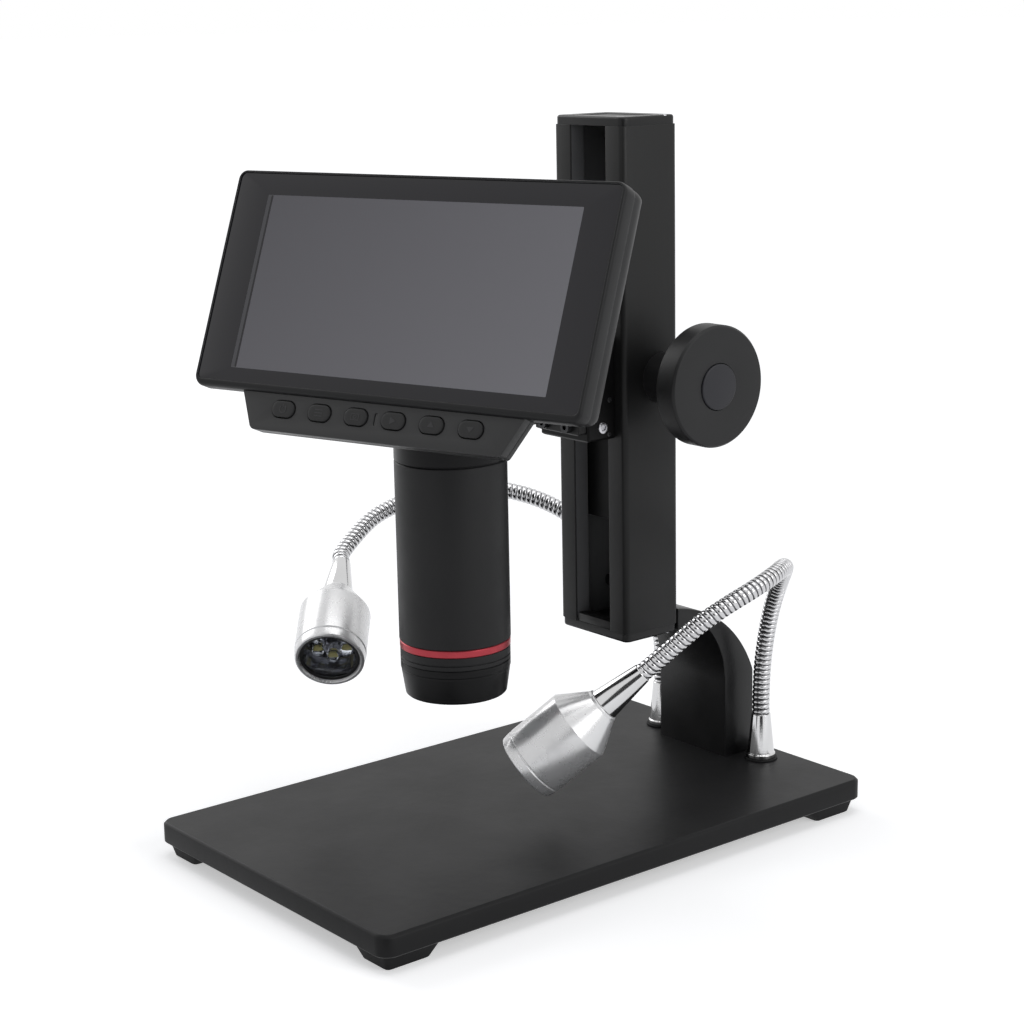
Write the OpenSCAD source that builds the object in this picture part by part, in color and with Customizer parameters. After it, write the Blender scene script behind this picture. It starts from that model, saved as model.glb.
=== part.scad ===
// Stand-alone video microscope: a screen and lens head on a rack-and-pinion column,
// a flat stage plate on four feet, and two lamps on bendable necks.
// Millimetres, +Z up. The origin is where the optical axis meets the top of the stage
// plate; the front of the plate lies towards -Y and the column stands towards +Y.

/* [Stage plate] */
// Width of the stage plate
plate_w = 120; // [110:1:150]
// Depth of the stage plate, front to back
plate_l = 190.5; // [190:0.5:220]
// Thickness of the stage plate
plate_t = 6.6; // [5.6:0.1:10]
// Radius of the plate's corners
plate_corner_r = 4.5; // [2:0.5:8]
// Width of the bevel round the plate's top edge
plate_bevel = 0.8; // [0.3:0.1:1.5]
// From the plate's front edge back to the optical axis
stage_front = 72.3; // [66:0.1:76]
// Height of each foot
foot_h = 4.9; // [3:0.1:8]
// Width of a foot where it meets the plate
foot_w = 17; // [14:0.5:24]
// Length of a foot where it meets the plate
foot_l = 20; // [15:0.5:28]
// How far a foot's inner sides slope in on their way down
foot_slope = 3.8; // [1:0.1:4]
// From the plate's edges in to the outside of a foot
foot_inset = 2; // [0.5:0.1:4]

/* [Support arm] */
// Width of the support arm
arm_w = 31.6; // [26:0.1:40]
// Thickness of the arm's upright leg
arm_leg_t = 13; // [10:0.5:16]
// From the column's back to the inner side of the leg
arm_gap = 21.1; // [20:0.1:28]
// Outer radius of the arm's bend
arm_outer_r = 42; // [40:0.5:46]
// Inner radius of the arm's bend
arm_inner_r = 28.6; // [26:0.2:31]
// Height of the arm's top where it meets the column, above the column's foot
arm_lip_h = 7.3; // [6:0.1:10]
// Size of the screws that hold the arm to the plate
arm_screw_d = 5; // [4:0.5:6]

/* [Column] */
// Width of the column
col_w = 32; // [30:0.5:36]
// Depth of the column, front to back
col_d = 22.5; // [21:0.1:24]
// Height of the column with both end caps
col_h = 163.8; // [162:0.2:200]
// Height of the column's foot above the stage
col_z = 47.7; // [46:0.1:56]
// From the optical axis back to the column's front
throat = 55.5; // [54:0.1:62]
// Width of the slot in the column's front
slot_w = 16; // [14:0.2:18]
// Thickness of the column's front lips
col_lip_t = 5.5; // [4.5:0.1:6.5]
// Thickness of the column's side walls
col_side_t = 3.5; // [2.5:0.1:4.5]
// Radius of the column's upright edges
col_edge_r = 1.8; // [1:0.1:3.2]
// Thickness of each end cap
cap_t = 2.8; // [2:0.1:4]
// Height of the tongue with which the lower cap closes the slot
cap_tongue_h = 2.7; // [1.5:0.1:4]

/* [Focus drive] */
// Module of the rack and pinion
gear_m = 0.6; // [0.5:0.05:0.7]
// Teeth on the pinion
pinion_teeth = 12; // [12:1:14]
// Diameter of the focus shaft
shaft_d = 4.6; // [3.6:0.2:4.6]
// Height of the focus shaft above the stage
shaft_z = 131; // [124:1:138]
// Diameter of the focus knobs
knob_d = 37.5; // [30:0.5:44]
// Thickness of a knob's rim
knob_t = 9; // [7:0.5:12]
// Diameter of the inset disc in a knob's face
knob_cap_d = 14.2; // [10:0.2:18]
// From the column's middle plane out to a knob's face
knob_reach = 41.2; // [38:0.2:48]
// Diameter of the bush that carries the shaft outside the column
bush_d = 16; // [12:0.5:20]
// Length of that bush
bush_l = 11; // [9:0.5:13]

/* [Carriage] */
// Height of the carriage's foot above the stage
carriage_z = 113; // [110:1:116]
// Height of the carriage block
carriage_h = 32; // [30:1:36]
// Width of the carriage block
carriage_w = 23; // [20:0.5:26]
// Depth of the carriage block in front of the column
carriage_d = 10.7; // [9:0.1:12]
// Length of the slide and rack inside the column
rack_l = 83; // [78:1:84]
// How far the slide's lower end lies below the carriage block
rack_drop = 28; // [24:1:30]
// Thickness of the slide inside the column
slide_t = 2.6; // [2:0.1:2.8]
// Width of the arm that carries the head
head_arm_w = 16; // [12:0.5:20]
// Height of that arm and its ring
head_arm_h = 13; // [10:0.5:14]
// Height of the ring's underside above the stage
ring_z = 121; // [119:0.5:122]
// Wall of the ring round the tube
ring_wall = 3; // [2:0.1:3.2]

/* [Lens tube] */
// Diameter of the lens tube
tube_d = 34; // [32:0.5:35]
// Height of the lens above the stage
nose_z = 40.8; // [38:0.2:50]
// Height of the tapered nose
nose_h = 10.8; // [8:0.2:12]
// Diameter of the nose's front
nose_d = 31; // [28:0.5:31.5]
// Height of the grooved ring above the nose
grip_h = 4; // [3:0.2:6]
// Height of the coloured ring
accent_h = 2.4; // [1.5:0.1:4]
// Height of the seam between barrel and collar, above the stage
seam_z = 113.6; // [108:0.2:116]
// Wall of the lens barrel
barrel_wall = 3; // [2:0.1:4]
// Clear diameter of the objective lens
lens_d = 17; // [12:0.5:20]

/* [Screen head] */
// Width of the screen housing
head_w = 141.4; // [136:0.2:160]
// Height of the screen housing
head_h = 66.2; // [64:0.2:80]
// Depth of the front frame
frame_t = 5.7; // [5:0.1:7]
// Depth of the rear cover
cover_t = 7.3; // [6.5:0.1:9]
// Radius of the housing's corners
head_r = 4.6; // [3:0.1:6]
// Lean of the screen back from upright, in degrees
lean = 22.7; // [18:0.1:26]
// Turn of the head about the tube, in degrees
head_yaw = 16.8; // [-30:0.1:30]
// From the tube's axis forward to the middle of the screen
screen_forward = 22.46; // [22:0.1:26]
// Height of the middle of the screen above the stage
screen_z = 166; // [165:0.5:172]
// Width of the picture area
lcd_w = 112.4; // [100:0.2:120]
// Height of the picture area
lcd_h = 53.5; // [48:0.1:56]
// Sideways offset of the housing from the picture's middle
head_shift = 1.3; // [0:0.1:3]
// Wall of the housing
shell_t = 2; // [1.5:0.1:2.5]
// Height of the glass edge that the frame covers, on each side
bezel = 2; // [1.5:0.1:3]

/* [Control strip] */
// Width of the strip's upper edge
strip_top_w = 100.8; // [96:0.2:110]
// Width of the strip's lower edge
strip_low_w = 89.4; // [84:0.5:95]
// Height of the strip
strip_h = 11.3; // [10.5:0.1:16]
// Thickness of the strip
strip_t = 3.2; // [3:0.1:4]
// Distance between neighbouring buttons
button_pitch = 13.4; // [11:0.1:15]
// Length of a button
button_l = 8.3; // [6:0.1:9]
// Width of a button
button_w = 4.9; // [3.5:0.1:5.5]
// From the housing's lower edge down to the middle of the buttons
button_drop = 4.5; // [4.2:0.1:5]
// How far a button can be pressed
button_travel = 0.7; // [0.4:0.1:0.7]

/* [Lamps] */
// Distance between the two lamp sockets
socket_gap = 48; // [44:0.5:54]
// From the plate's back edge forward to the sockets
socket_inset = 10.6; // [9:0.1:14]
// Diameter of a lamp's neck over its ribs
neck_d = 5.8; // [5:0.1:6]
// Distance between neighbouring ribs
neck_pitch = 1.55; // [1.5:0.05:3]
// Depth of the grooves between the ribs
neck_groove = 0.35; // [0.2:0.05:0.5]
// Diameter of the bore through a neck
neck_bore = 2.6; // [2:0.1:3]
// Height of a base ferrule above the plate
ferrule_base_h = 15.5; // [10:0.5:18]
// Diameter of a base ferrule at the plate
ferrule_base_d = 9.5; // [8:0.1:11]
// Length of a lamp's tapered ferrule
ferrule_l = 15.7; // [12:0.1:18]
// Length of a lamp's cone
lamp_cone_l = 9.9; // [8:0.1:12]
// Length of a lamp's straight body
lamp_body_l = 21.4; // [18:0.2:26]
// Diameter of a lamp's body
lamp_d = 23.4; // [20:0.2:25]
// Light sources in a lamp
lamp_leds = 6; // [4:1:7]
// Heading of the right lamp, degrees about +Z from +X
lamp_r_heading = -131; // [-140:1:-120]
// Dip of the right lamp below level, in degrees
lamp_r_dip = 40; // [35:1:45]
// Heading of the left lamp, degrees about +Z from +X
lamp_l_heading = -41; // [-50:1:-30]
// Dip of the left lamp below level, in degrees
lamp_l_dip = 27; // [20:1:35]

/* [Hidden] */
$fn = 64;

// colours
black_metal = [0.13, 0.13, 0.14];
black_plastic = [0.11, 0.11, 0.12];
steel = [0.72, 0.72, 0.74];
silver = [0.82, 0.82, 0.84];

// clearances
run_gap = 0.2;      // between the slide and the column
face_gap = 0.3;     // between faces that pass each other
fit_gap = 0.05;     // round the shaft and round the tube
screw_gap = 0.05;   // round a screw

// stage plate
plate_back = plate_l - stage_front;
plate_mid_y = plate_l / 2 - stage_front;
foot_x = plate_w / 2 - foot_inset - foot_w / 2;
foot_y = plate_l / 2 - foot_inset - foot_l / 2;
foot_screw_d = 3;
foot_screw_h = 5;
foot_screw_head = 1.6;

// column section
col_back = throat + col_d;
col_back_t = 2.1;
col_cavity_w = col_w - 2 * col_side_t;
col_cavity_y = throat + col_lip_t;
col_body_z = col_z + cap_t;
col_body_h = col_h - 2 * cap_t;
cap_inset = 0.4;
cap_bevel = 0.8;
cap_screw_d = 2.2;
cap_screw_l = 9;
cap_screw_rear = 4.5;
cap_screw_spots = [
    for (s = [-1, 1], p = [
        [(slot_w + col_w) / 4, throat + col_lip_t / 2],
        [(col_w - col_side_t) / 2, col_back - cap_screw_rear]
    ])
        [s * p[0], p[1], 0]
];

// support arm
arm_leg_y = col_back + arm_gap;
arm_inner_z = 26;
arm_bow = 39.4;       // from the middle of the outer bend back to the leg's back
arm_foot_in = 8;      // how far the foot of the leg thickens forward
arm_opening = 0.66;   // share of the inner radius that is open behind the column
arm_seam = 0.5;       // overlap of the bend and the leg
arm_outer_y = arm_leg_y + arm_leg_t - arm_bow;
arm_outer_z = col_z + arm_lip_h - sqrt(arm_outer_r ^ 2 - (col_back - arm_outer_y) ^ 2);
arm_shoulder_z = arm_outer_z + sqrt(arm_outer_r ^ 2 - arm_bow ^ 2);
tenon_h = 17;
tenon_web_w = 16;
tenon_web_h = 4.3;
tenon_gap = 0.1;
arm_screw_x = arm_w / 2 - 6.8;
arm_screw_y = arm_leg_y + arm_leg_t / 2;
arm_screw_depth = 14;
column_screw_d = 4;
column_screw_l = 13;
column_screw_x = 5.5;
column_screw_z = col_body_z + tenon_h - 5;

// rack and pinion
pressure = 20;
rack_base_t = 3;
rack_root = 1.25 * gear_m;
rack_tip = 0.75 * gear_m;
backlash = 0.07;
slide_y = col_cavity_y + run_gap;
rack_y = slide_y + slide_t;
pitch_y = rack_y + rack_base_t + rack_root;
pitch_r = gear_m * pinion_teeth / 2;
shaft_y = pitch_y + pitch_r + 0.05;
rack_w = 9.6;
rack_z = carriage_z - rack_drop;
rack_pitch = PI * gear_m;
knob_bore_gap = 0.02;
knob_hub_d = 14;
bush_out = col_w / 2 + bush_l;
knob_inner = knob_reach - knob_t;

// carriage and head arm
carriage_y = throat - face_gap;
carriage_front = carriage_y - carriage_d;
arm_plate_t = 3;
arm_plate_w = carriage_w - 2;
arm_plate_h = 24;
arm_plate_z = ring_z + head_arm_h / 2 - arm_plate_h / 2;
arm_screw2_d = 3;
arm_screw2_x = arm_plate_w / 2 - 5;
tube_r = tube_d / 2;
ring_r = tube_r + fit_gap + ring_wall;
clamp_d = 4;

// lens tube
grip_z = nose_z + nose_h;
accent_z = grip_z + grip_h;
barrel_z = accent_z + accent_h;
barrel_bore_r = tube_r - barrel_wall;
collar_top = ring_z + head_arm_h + 12;
tower_z = ring_z + head_arm_h + 0.4;
tower_wall = 2.4;
tower_r = tube_r + fit_gap + tower_wall;
tower_top = screen_z + 9;
spigot_l = 6;

// screen, measured in its own frame: X right, Y up the screen, Z out of the glass
lip = 0.3;
glass_t = 1.1;
glass_gap = 0.15;
frame_back = lip - frame_t;
cover_back = frame_back - cover_t;
cover_inset = 0.8;
cover_bevel = 2;
lcd_frame_w = lcd_w + 6;
lcd_frame_h = lcd_h + 5;
lcd_t = 2.6;
board_side = 12.7;    // from the housing's side to the board
board_w = head_w - 2 * board_side;
board_h = 48;
board_t = 1.6;
board_boss = 1.6;
cavity_back = cover_back + shell_t;
cover_screw_x = head_w / 2 - 8;
cover_screw_y = head_h / 2 - 7;
cover_screw_d = 3;
cover_screw_l = -(glass_t + lcd_t + face_gap) - cover_back - 0.2;

// control strip, in the screen's frame
strip_front = -1;
strip_back = strip_front - strip_t;
strip_y = -head_h / 2;
strip_shell = 1.2;
button_y = strip_y - button_drop;
button_gap = 0.2;
button_flange = 0.6;
button_skirt_t = strip_t - strip_shell - 2 * button_gap - button_travel;
button_proud = 0.5;
button_count = 6;
shelf_t = 2;

// power inlet, in the left side of the rear cover
inlet_w = 9;
inlet_h = 3.4;
inlet_l = 6;
inlet_wall = 0.5;
inlet_y = -12;
inlet_z = frame_back - 2.5;

// lamps
socket_y = plate_back - socket_inset;
washer_t = 0.6;
washer_d = ferrule_base_d + 2.6;
post_r = 3;
ferrule_top_d = neck_d + 0.4;
lock_screw_d = 3.2;
lock_screw_off = 5;
lock_screw_y = 1;
lamp_len = ferrule_l + lamp_cone_l + lamp_body_l;
cone_top_d = 11.3;
ferrule_wide_d = 10.4;
rim_d = lamp_d - 0.9;
lens_seat = 1.1;
lamp_lens_t = 1.5;
lamp_bore_d = rim_d - 3.4;
reflector_l = 10;
led_d = 3.4;
led_ring_r = 4.9;
neck_straight = 6;
neck_sides = 8;
way_reach = 0.8;

// aims of the lamps and the middles of their front rims
function aim(heading, dip) =
    [cos(dip) * cos(heading), cos(dip) * sin(heading), -sin(dip)];
aim_r = aim(lamp_r_heading, lamp_r_dip);
aim_l = aim(lamp_l_heading, lamp_l_dip);
rim_r = [14.3, 15.3, 15.9];
rim_l = [-52.4, -11.3, 41];
socket_r = [socket_gap / 2, socket_y, ferrule_base_h];
socket_l = [-socket_gap / 2, socket_y, ferrule_base_h];

// routes of the necks: straight out of the socket, round by hand-set points,
// and straight into the lamp
route_r = concat(
    [socket_r, socket_r + [0, 0, neck_straight]],
    [
        [24.2, 108, 32], [25.6, 108.3, 43], [29, 107.5, 53.5], [34.5, 105, 62.5],
        [41.5, 99.8, 69], [48.3, 92.2, 72.2], [52.8, 83, 72], [54, 73, 69.6],
        [52, 64, 65.8], [48, 55.7, 60.2]
    ],
    [rim_r - (lamp_len + neck_straight) * aim_r, rim_r - lamp_len * aim_r]
);
route_l = concat(
    [socket_l, socket_l + [0, 0, neck_straight]],
    [
        [-25, 107.8, 32], [-29, 105.7, 43.2], [-34.6, 102.5, 53], [-41, 98.5, 61.5],
        [-48, 93.6, 69], [-55.8, 87.5, 75.2], [-63.6, 80.5, 79.4], [-71.4, 72.4, 81.7],
        [-78.5, 63.5, 82], [-84.8, 54, 80.4], [-89.4, 43.8, 77.6], [-91.6, 33.4, 73.2]
    ],
    [rim_l - (lamp_len + neck_straight) * aim_l, rim_l - lamp_len * aim_l]
);

// ---------------------------------------------------------------- helpers

// flat rounded rectangle, centred
module rounded_rect(w, l, r) {
    square([w - 2 * r, l], center = true);
    square([w, l - 2 * r], center = true);
    for (sx = [-1, 1], sy = [-1, 1])
        translate([sx * (w / 2 - r), sy * (l / 2 - r)])
            circle(r);
}

// slab of height h from z = 0 up, its top edge bevelled by c all round
module bevelled_slab(w, l, h, r, c) {
    intersection() {
        linear_extrude(h)
            rounded_rect(w, l, r);
        rotate([90, 0, 0])
            linear_extrude(l + 2, center = true)
                polygon([
                    [-w / 2 - 1, -1], [w / 2 + 1, -1], [w / 2 + 1, 0], [w / 2, 0],
                    [w / 2, h - c], [w / 2 - c, h], [c - w / 2, h], [-w / 2, h - c],
                    [-w / 2, 0], [-w / 2 - 1, 0]
                ]);
        rotate([90, 0, 90])
            linear_extrude(w + 2, center = true)
                polygon([
                    [-l / 2 - 1, -1], [l / 2 + 1, -1], [l / 2 + 1, 0], [l / 2, 0],
                    [l / 2, h - c], [l / 2 - c, h], [c - l / 2, h], [-l / 2, h - c],
                    [-l / 2, 0], [-l / 2 - 1, 0]
                ]);
    }
}

// flat stadium shape, l long and w wide, along X
module pill(l, w) {
    square([l - w, w], center = true);
    for (s = [-1, 1])
        translate([s * (l - w) / 2, 0])
            circle(w / 2);
}

// screw with a flat head of height hh on top of a shank; the head's top is at z = 0
module flat_screw(d, l, head_d, hh) {
    difference() {
        union() {
            translate([0, 0, -hh])
                cylinder(h = hh, d = head_d);
            translate([0, 0, -l])
                cylinder(h = l, d = d);
        }
        translate([0, 0, -0.6 * hh])
            cylinder(h = hh, d = 0.5 * head_d, $fn = 6);
    }
}

// the hole that such a screw sits in, open upwards
module flat_screw_hole(d, l, head_d, hh) {
    translate([0, 0, -hh])
        cylinder(h = hh + 1, d = head_d + 2 * screw_gap);
    translate([0, 0, -l - screw_gap])
        cylinder(h = l, d = d + 2 * screw_gap);
}

// puts its children on the screen's face, turned and leant as the head is
module on_screen() {
    rotate([0, 0, head_yaw])
        translate([0, -screen_forward, screen_z])
            rotate([90 - lean, 0, 0])
                children();
}

// puts its children, drawn with +Z out of the lamp, at a lamp's front rim
module at_lamp(rim, heading, dip) {
    translate(rim)
        rotate([0, 90 + dip, heading])
            children();
}

// four places near the corners of the plate
module at_feet() {
    for (sx = [-1, 1], sy = [-1, 1])
        translate([sx * foot_x, plate_mid_y + sy * foot_y, -plate_t])
            scale([sx, sy, 1])
                children();
}

// ---------------------------------------------------------------- stage

module base_plate() {
    color(black_metal)
    difference() {
        translate([0, plate_mid_y, -plate_t])
            bevelled_slab(plate_w, plate_l, plate_t, plate_corner_r, plate_bevel);
        for (s = [-1, 1]) {
            translate([s * socket_gap / 2, socket_y, -plate_t - 1])
                cylinder(h = plate_t + 2, r = post_r + fit_gap);
            translate([s * (socket_gap / 2 + lock_screw_off), socket_y + lock_screw_y, 0])
                lock_screw_hole();
            translate([s * arm_screw_x, arm_screw_y, -plate_t])
                mirror([0, 0, 1])
                    flat_screw_hole(arm_screw_d, plate_t + 1, 1.8 * arm_screw_d, 3);
        }
        at_feet()
            translate([0, 0, -foot_screw_head])
                mirror([0, 0, 1])
                    flat_screw_hole(foot_screw_d, foot_screw_h, foot_screw_d, 0.1);
    }
}

// sunk hole of the set screw that locks a lamp's post
module lock_screw_hole() {
    translate([0, 0, 0.6 - plate_t])
        cylinder(h = plate_t, d = lock_screw_d + 2 * screw_gap);
}

module base_feet() {
    color(black_plastic)
    at_feet()
        difference() {
            intersection() {
                translate([0, foot_l / 2, 0])
                    rotate([90, 0, 0])
                        linear_extrude(foot_l)
                            polygon([
                                [-foot_w / 2, 0], [foot_w / 2, 0],
                                [foot_w / 2 - foot_slope / 3, -foot_h],
                                [foot_slope - foot_w / 2, -foot_h]
                            ]);
                translate([-foot_w / 2, 0, 0])
                    rotate([90, 0, 90])
                        linear_extrude(foot_w)
                            polygon([
                                [-foot_l / 2, 0], [foot_l / 2, 0],
                                [foot_l / 2 - foot_slope / 3, -foot_h],
                                [foot_slope - foot_l / 2, -foot_h]
                            ]);
            }
            translate([0, 0, -foot_h])
                mirror([0, 0, 1])
                    flat_screw_hole(foot_screw_d, foot_h + 1, 2 * foot_screw_d, foot_screw_head);
        }
}

module foot_screws() {
    color(steel)
    at_feet()
        translate([0, 0, -foot_h + 0.3])
            mirror([0, 0, 1])
                flat_screw(foot_screw_d, foot_screw_h, 2 * foot_screw_d, foot_screw_head - 0.3);
}

// ---------------------------------------------------------------- support arm

// side view of the arm: X here is the model's Y, Y here is height
module arm_outline() {
    difference() {
        union() {
            translate([arm_leg_y, 0])
                square([arm_leg_t, arm_shoulder_z]);
            intersection() {
                translate([arm_outer_y, arm_outer_z])
                    circle(arm_outer_r, $fn = 128);
                translate([col_back, arm_shoulder_z])
                    square([arm_gap + arm_leg_t, arm_outer_r]);
            }
            translate([col_back, arm_shoulder_z - arm_seam])
                square([arm_gap + arm_leg_t, arm_seam]);
            translate([arm_leg_y - arm_foot_in, 0])
                square([arm_foot_in, arm_shoulder_z]);
        }
        translate([arm_leg_y - arm_inner_r, arm_inner_z])
            circle(arm_inner_r, $fn = 128);
        translate([arm_leg_y - arm_inner_r, -1])
            square([arm_inner_r, arm_inner_z + 1]);
        translate([col_back - 1, -1])
            square([arm_gap - arm_inner_r + arm_inner_r * arm_opening + 1, col_z + 1]);
    }
}

module support_arm() {
    color(black_metal)
    difference() {
        union() {
            translate([arm_w / 2, 0, 0])
                rotate([90, 0, -90])
                    mirror([1, 0, 0])
                        linear_extrude(arm_w)
                            arm_outline();
            // tongue through the column's back wall and block inside its foot
            translate([-tenon_web_w / 2, col_back - col_back_t - 2, col_body_z])
                cube([tenon_web_w, col_back_t + 2.5, tenon_web_h]);
            translate([-col_cavity_w / 2 + tenon_gap, col_cavity_y + tenon_gap, col_body_z])
                cube([
                    col_cavity_w - 2 * tenon_gap,
                    col_d - col_lip_t - col_back_t - 2 * tenon_gap,
                    tenon_h
                ]);
        }
        for (s = [-1, 1]) {
            translate([s * arm_screw_x, arm_screw_y, -1])
                cylinder(h = arm_screw_depth + 1, d = arm_screw_d + 2 * screw_gap);
            translate([s * column_screw_x, col_back, column_screw_z])
                rotate([90, 0, 0])
                    cylinder(h = column_screw_l - 1, d = column_screw_d + 2 * screw_gap);
        }
    }
}

module arm_base_screws() {
    color(steel)
    for (s = [-1, 1])
        translate([s * arm_screw_x, arm_screw_y, 0.4 - plate_t])
            mirror([0, 0, 1])
                flat_screw(arm_screw_d, plate_t + arm_screw_depth - 1, 1.8 * arm_screw_d, 2.6);
}

// ---------------------------------------------------------------- column

module column_section() {
    difference() {
        translate([0, throat + col_d / 2])
            rounded_rect(col_w, col_d, col_edge_r);
        translate([-slot_w / 2, throat - 1])
            square([slot_w, col_lip_t + 2]);
        translate([-col_cavity_w / 2, col_cavity_y])
            square([col_cavity_w, col_d - col_lip_t - col_back_t]);
    }
}

module column() {
    color(black_metal)
    difference() {
        translate([0, 0, col_body_z])
            linear_extrude(col_body_h)
                column_section();
        // notch for the arm's tongue
        translate([-tenon_web_w / 2 - tenon_gap, col_back - col_back_t - 1, col_body_z - 1])
            cube([tenon_web_w + 2 * tenon_gap, col_back_t + 2, tenon_web_h + 1 + tenon_gap]);
        // bores of the two bushes
        translate([0, shaft_y, shaft_z])
            rotate([0, 90, 0])
                cylinder(h = col_w + 2, d = shaft_d + 3 + 2 * fit_gap, center = true);
        for (s = [-1, 1])
            translate([s * column_screw_x, col_back + 1, column_screw_z])
                rotate([90, 0, 0])
                    cylinder(h = col_back_t + 2, d = column_screw_d + 2 * screw_gap);
        for (p = cap_screw_spots) {
            translate(p + [0, 0, col_body_z - 1])
                cylinder(h = cap_screw_l, d = cap_screw_d - 2 * screw_gap);
            translate(p + [0, 0, col_body_z + col_body_h + 1 - cap_screw_l])
                cylinder(h = cap_screw_l, d = cap_screw_d - 2 * screw_gap);
        }
    }
}

// end cap, its lower face at z = 0
module end_cap(t) {
    difference() {
        translate([0, throat + col_d / 2, 0])
            bevelled_slab(col_w - 2 * cap_inset, col_d - 2 * cap_inset, t,
                          col_edge_r + cap_bevel, cap_bevel);
        for (p = cap_screw_spots)
            translate(p + [0, 0, t])
                flat_screw_hole(cap_screw_d, t + 1, 1.3 * cap_screw_d, 1.3);
    }
}

module column_top_cap() {
    color(black_plastic)
    translate([0, 0, col_z + col_h - cap_t])
        end_cap(cap_t);
}

module column_bottom_cap() {
    color(black_plastic)
    translate([0, 0, col_body_z])
        mirror([0, 0, 1])
            end_cap(cap_t);
    // tongue that closes the slot between the lips
    color(black_plastic)
    translate([-slot_w / 2 + fit_gap, throat + cap_inset, col_body_z - 0.5])
        cube([slot_w - 2 * fit_gap, col_lip_t - cap_inset, cap_tongue_h + 0.5]);
}

module cap_screws() {
    color(steel)
    for (p = cap_screw_spots) {
        translate(p + [0, 0, col_z + col_h - 0.1])
            flat_screw(cap_screw_d - 4 * screw_gap, cap_screw_l, 1.3 * cap_screw_d, 1.2);
        translate(p + [0, 0, col_z + 0.1])
            mirror([0, 0, 1])
                flat_screw(cap_screw_d - 4 * screw_gap, cap_screw_l, 1.3 * cap_screw_d, 1.2);
    }
}

module column_arm_screws() {
    color(steel)
    for (s = [-1, 1])
        translate([s * column_screw_x, col_back + 2.4, column_screw_z])
            rotate([-90, 0, 0])
                flat_screw(column_screw_d, column_screw_l, 1.75 * column_screw_d, 2.4);
}

// flanged bushes that carry the focus shaft on both sides
module shaft_bushes() {
    color(black_metal)
    translate([0, shaft_y, shaft_z])
        for (s = [0, 180])
            rotate([0, 90, s])
                difference() {
                    union() {
                        translate([0, 0, col_w / 2])
                            cylinder(h = bush_l - 1, d = bush_d);
                        translate([0, 0, bush_out - 1])
                            cylinder(h = 1, d1 = bush_d, d2 = bush_d - 2);
                        translate([0, 0, col_cavity_w / 2])
                            cylinder(h = col_side_t + 1, d = shaft_d + 3);
                    }
                    cylinder(h = bush_out + 1, d = shaft_d + 2 * fit_gap);
                }
}

// ---------------------------------------------------------------- focus drive

function involute(a) = tan(a) - a * PI / 180;

// half the angle of a pinion tooth at radius r
function tooth_half(r) =
    let (base_r = pitch_r * cos(pressure))
    let (a = r > base_r ? acos(base_r / r) : 0)
    90 / pinion_teeth - backlash / pitch_r * 180 / PI
    + (involute(pressure) - involute(a)) * 180 / PI
    - (r > base_r ? 0 : 14 * (base_r - r));

module pinion() {
    tip_r = pitch_r + 0.85 * gear_m;
    root_r = pitch_r - 1.1 * gear_m;
    radii = [root_r, pitch_r - 0.4 * gear_m, pitch_r, pitch_r + 0.5 * gear_m, tip_r];
    last = len(radii) - 1;
    step = 360 / pinion_teeth;
    outline = [
        for (k = [0 : pinion_teeth - 1])
            for (i = [0 : 2 * last + 1])
                let (j = i <= last ? i : 2 * last + 1 - i)
                let (side = i <= last ? -1 : 1)
                let (a = k * step + side * tooth_half(radii[j]))
                radii[j] * [cos(a), sin(a)]
    ];
    color(steel)
    translate([0, shaft_y, shaft_z])
        rotate([90, 0, -90])
            difference() {
                translate([0, 0, -rack_w / 2])
                    linear_extrude(rack_w)
                        polygon(outline);
                cylinder(h = rack_w + 2, d = shaft_d + 2 * knob_bore_gap, center = true);
            }
}

module rack() {
    count = floor(rack_l / 2 / rack_pitch - 0.5);
    tip = rack_base_t + rack_root + rack_tip;
    root = rack_base_t;
    half_tip = rack_pitch / 4 - backlash - rack_tip * tan(pressure);
    half_root = rack_pitch / 4 - backlash + rack_root * tan(pressure);
    mid = floor((shaft_z - rack_z - rack_l / 2) / rack_pitch) + 0.5;
    first = shaft_z - rack_z - (count + mid) * rack_pitch;
    color(steel)
    translate([-rack_w / 2, rack_y, rack_z])
        rotate([90, 0, 90])
            linear_extrude(rack_w) {
                square([rack_base_t, rack_l]);
                for (k = [0 : 2 * count])
                    translate([0, first + k * rack_pitch])
                        polygon([
                            [root - 0.1, -half_root], [root, -half_root], [tip, -half_tip],
                            [tip, half_tip], [root, half_root], [root - 0.1, half_root]
                        ]);
            }
}

module focus_shaft() {
    color(steel)
    translate([0, shaft_y, shaft_z])
        rotate([0, 90, 0])
            cylinder(h = 2 * (knob_reach - 2), d = shaft_d, center = true);
}

// knob drawn with its face towards +Z and its hub below
module knob() {
    rim = 0.8;
    difference() {
        union() {
            rotate_extrude()
                polygon([
                    [0, knob_inner + face_gap], [knob_d / 2 - rim, knob_inner + face_gap],
                    [knob_d / 2, knob_inner + rim + face_gap], [knob_d / 2, knob_reach - rim],
                    [knob_d / 2 - rim, knob_reach], [0, knob_reach]
                ]);
            translate([0, 0, bush_out + face_gap])
                cylinder(h = knob_inner - bush_out, d = knob_hub_d);
        }
        translate([0, 0, bush_out - 1])
            cylinder(h = knob_reach - bush_out - 1, d = shaft_d + 2 * knob_bore_gap);
        translate([0, 0, knob_reach - 1.4])
            cylinder(h = 2, d = knob_cap_d + 0.2);
    }
}

module knob_right() {
    color(black_metal)
    translate([0, shaft_y, shaft_z])
        rotate([0, 90, 0])
            knob();
}

module knob_left() {
    color(black_metal)
    translate([0, shaft_y, shaft_z])
        rotate([0, -90, 0])
            knob();
}

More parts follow.
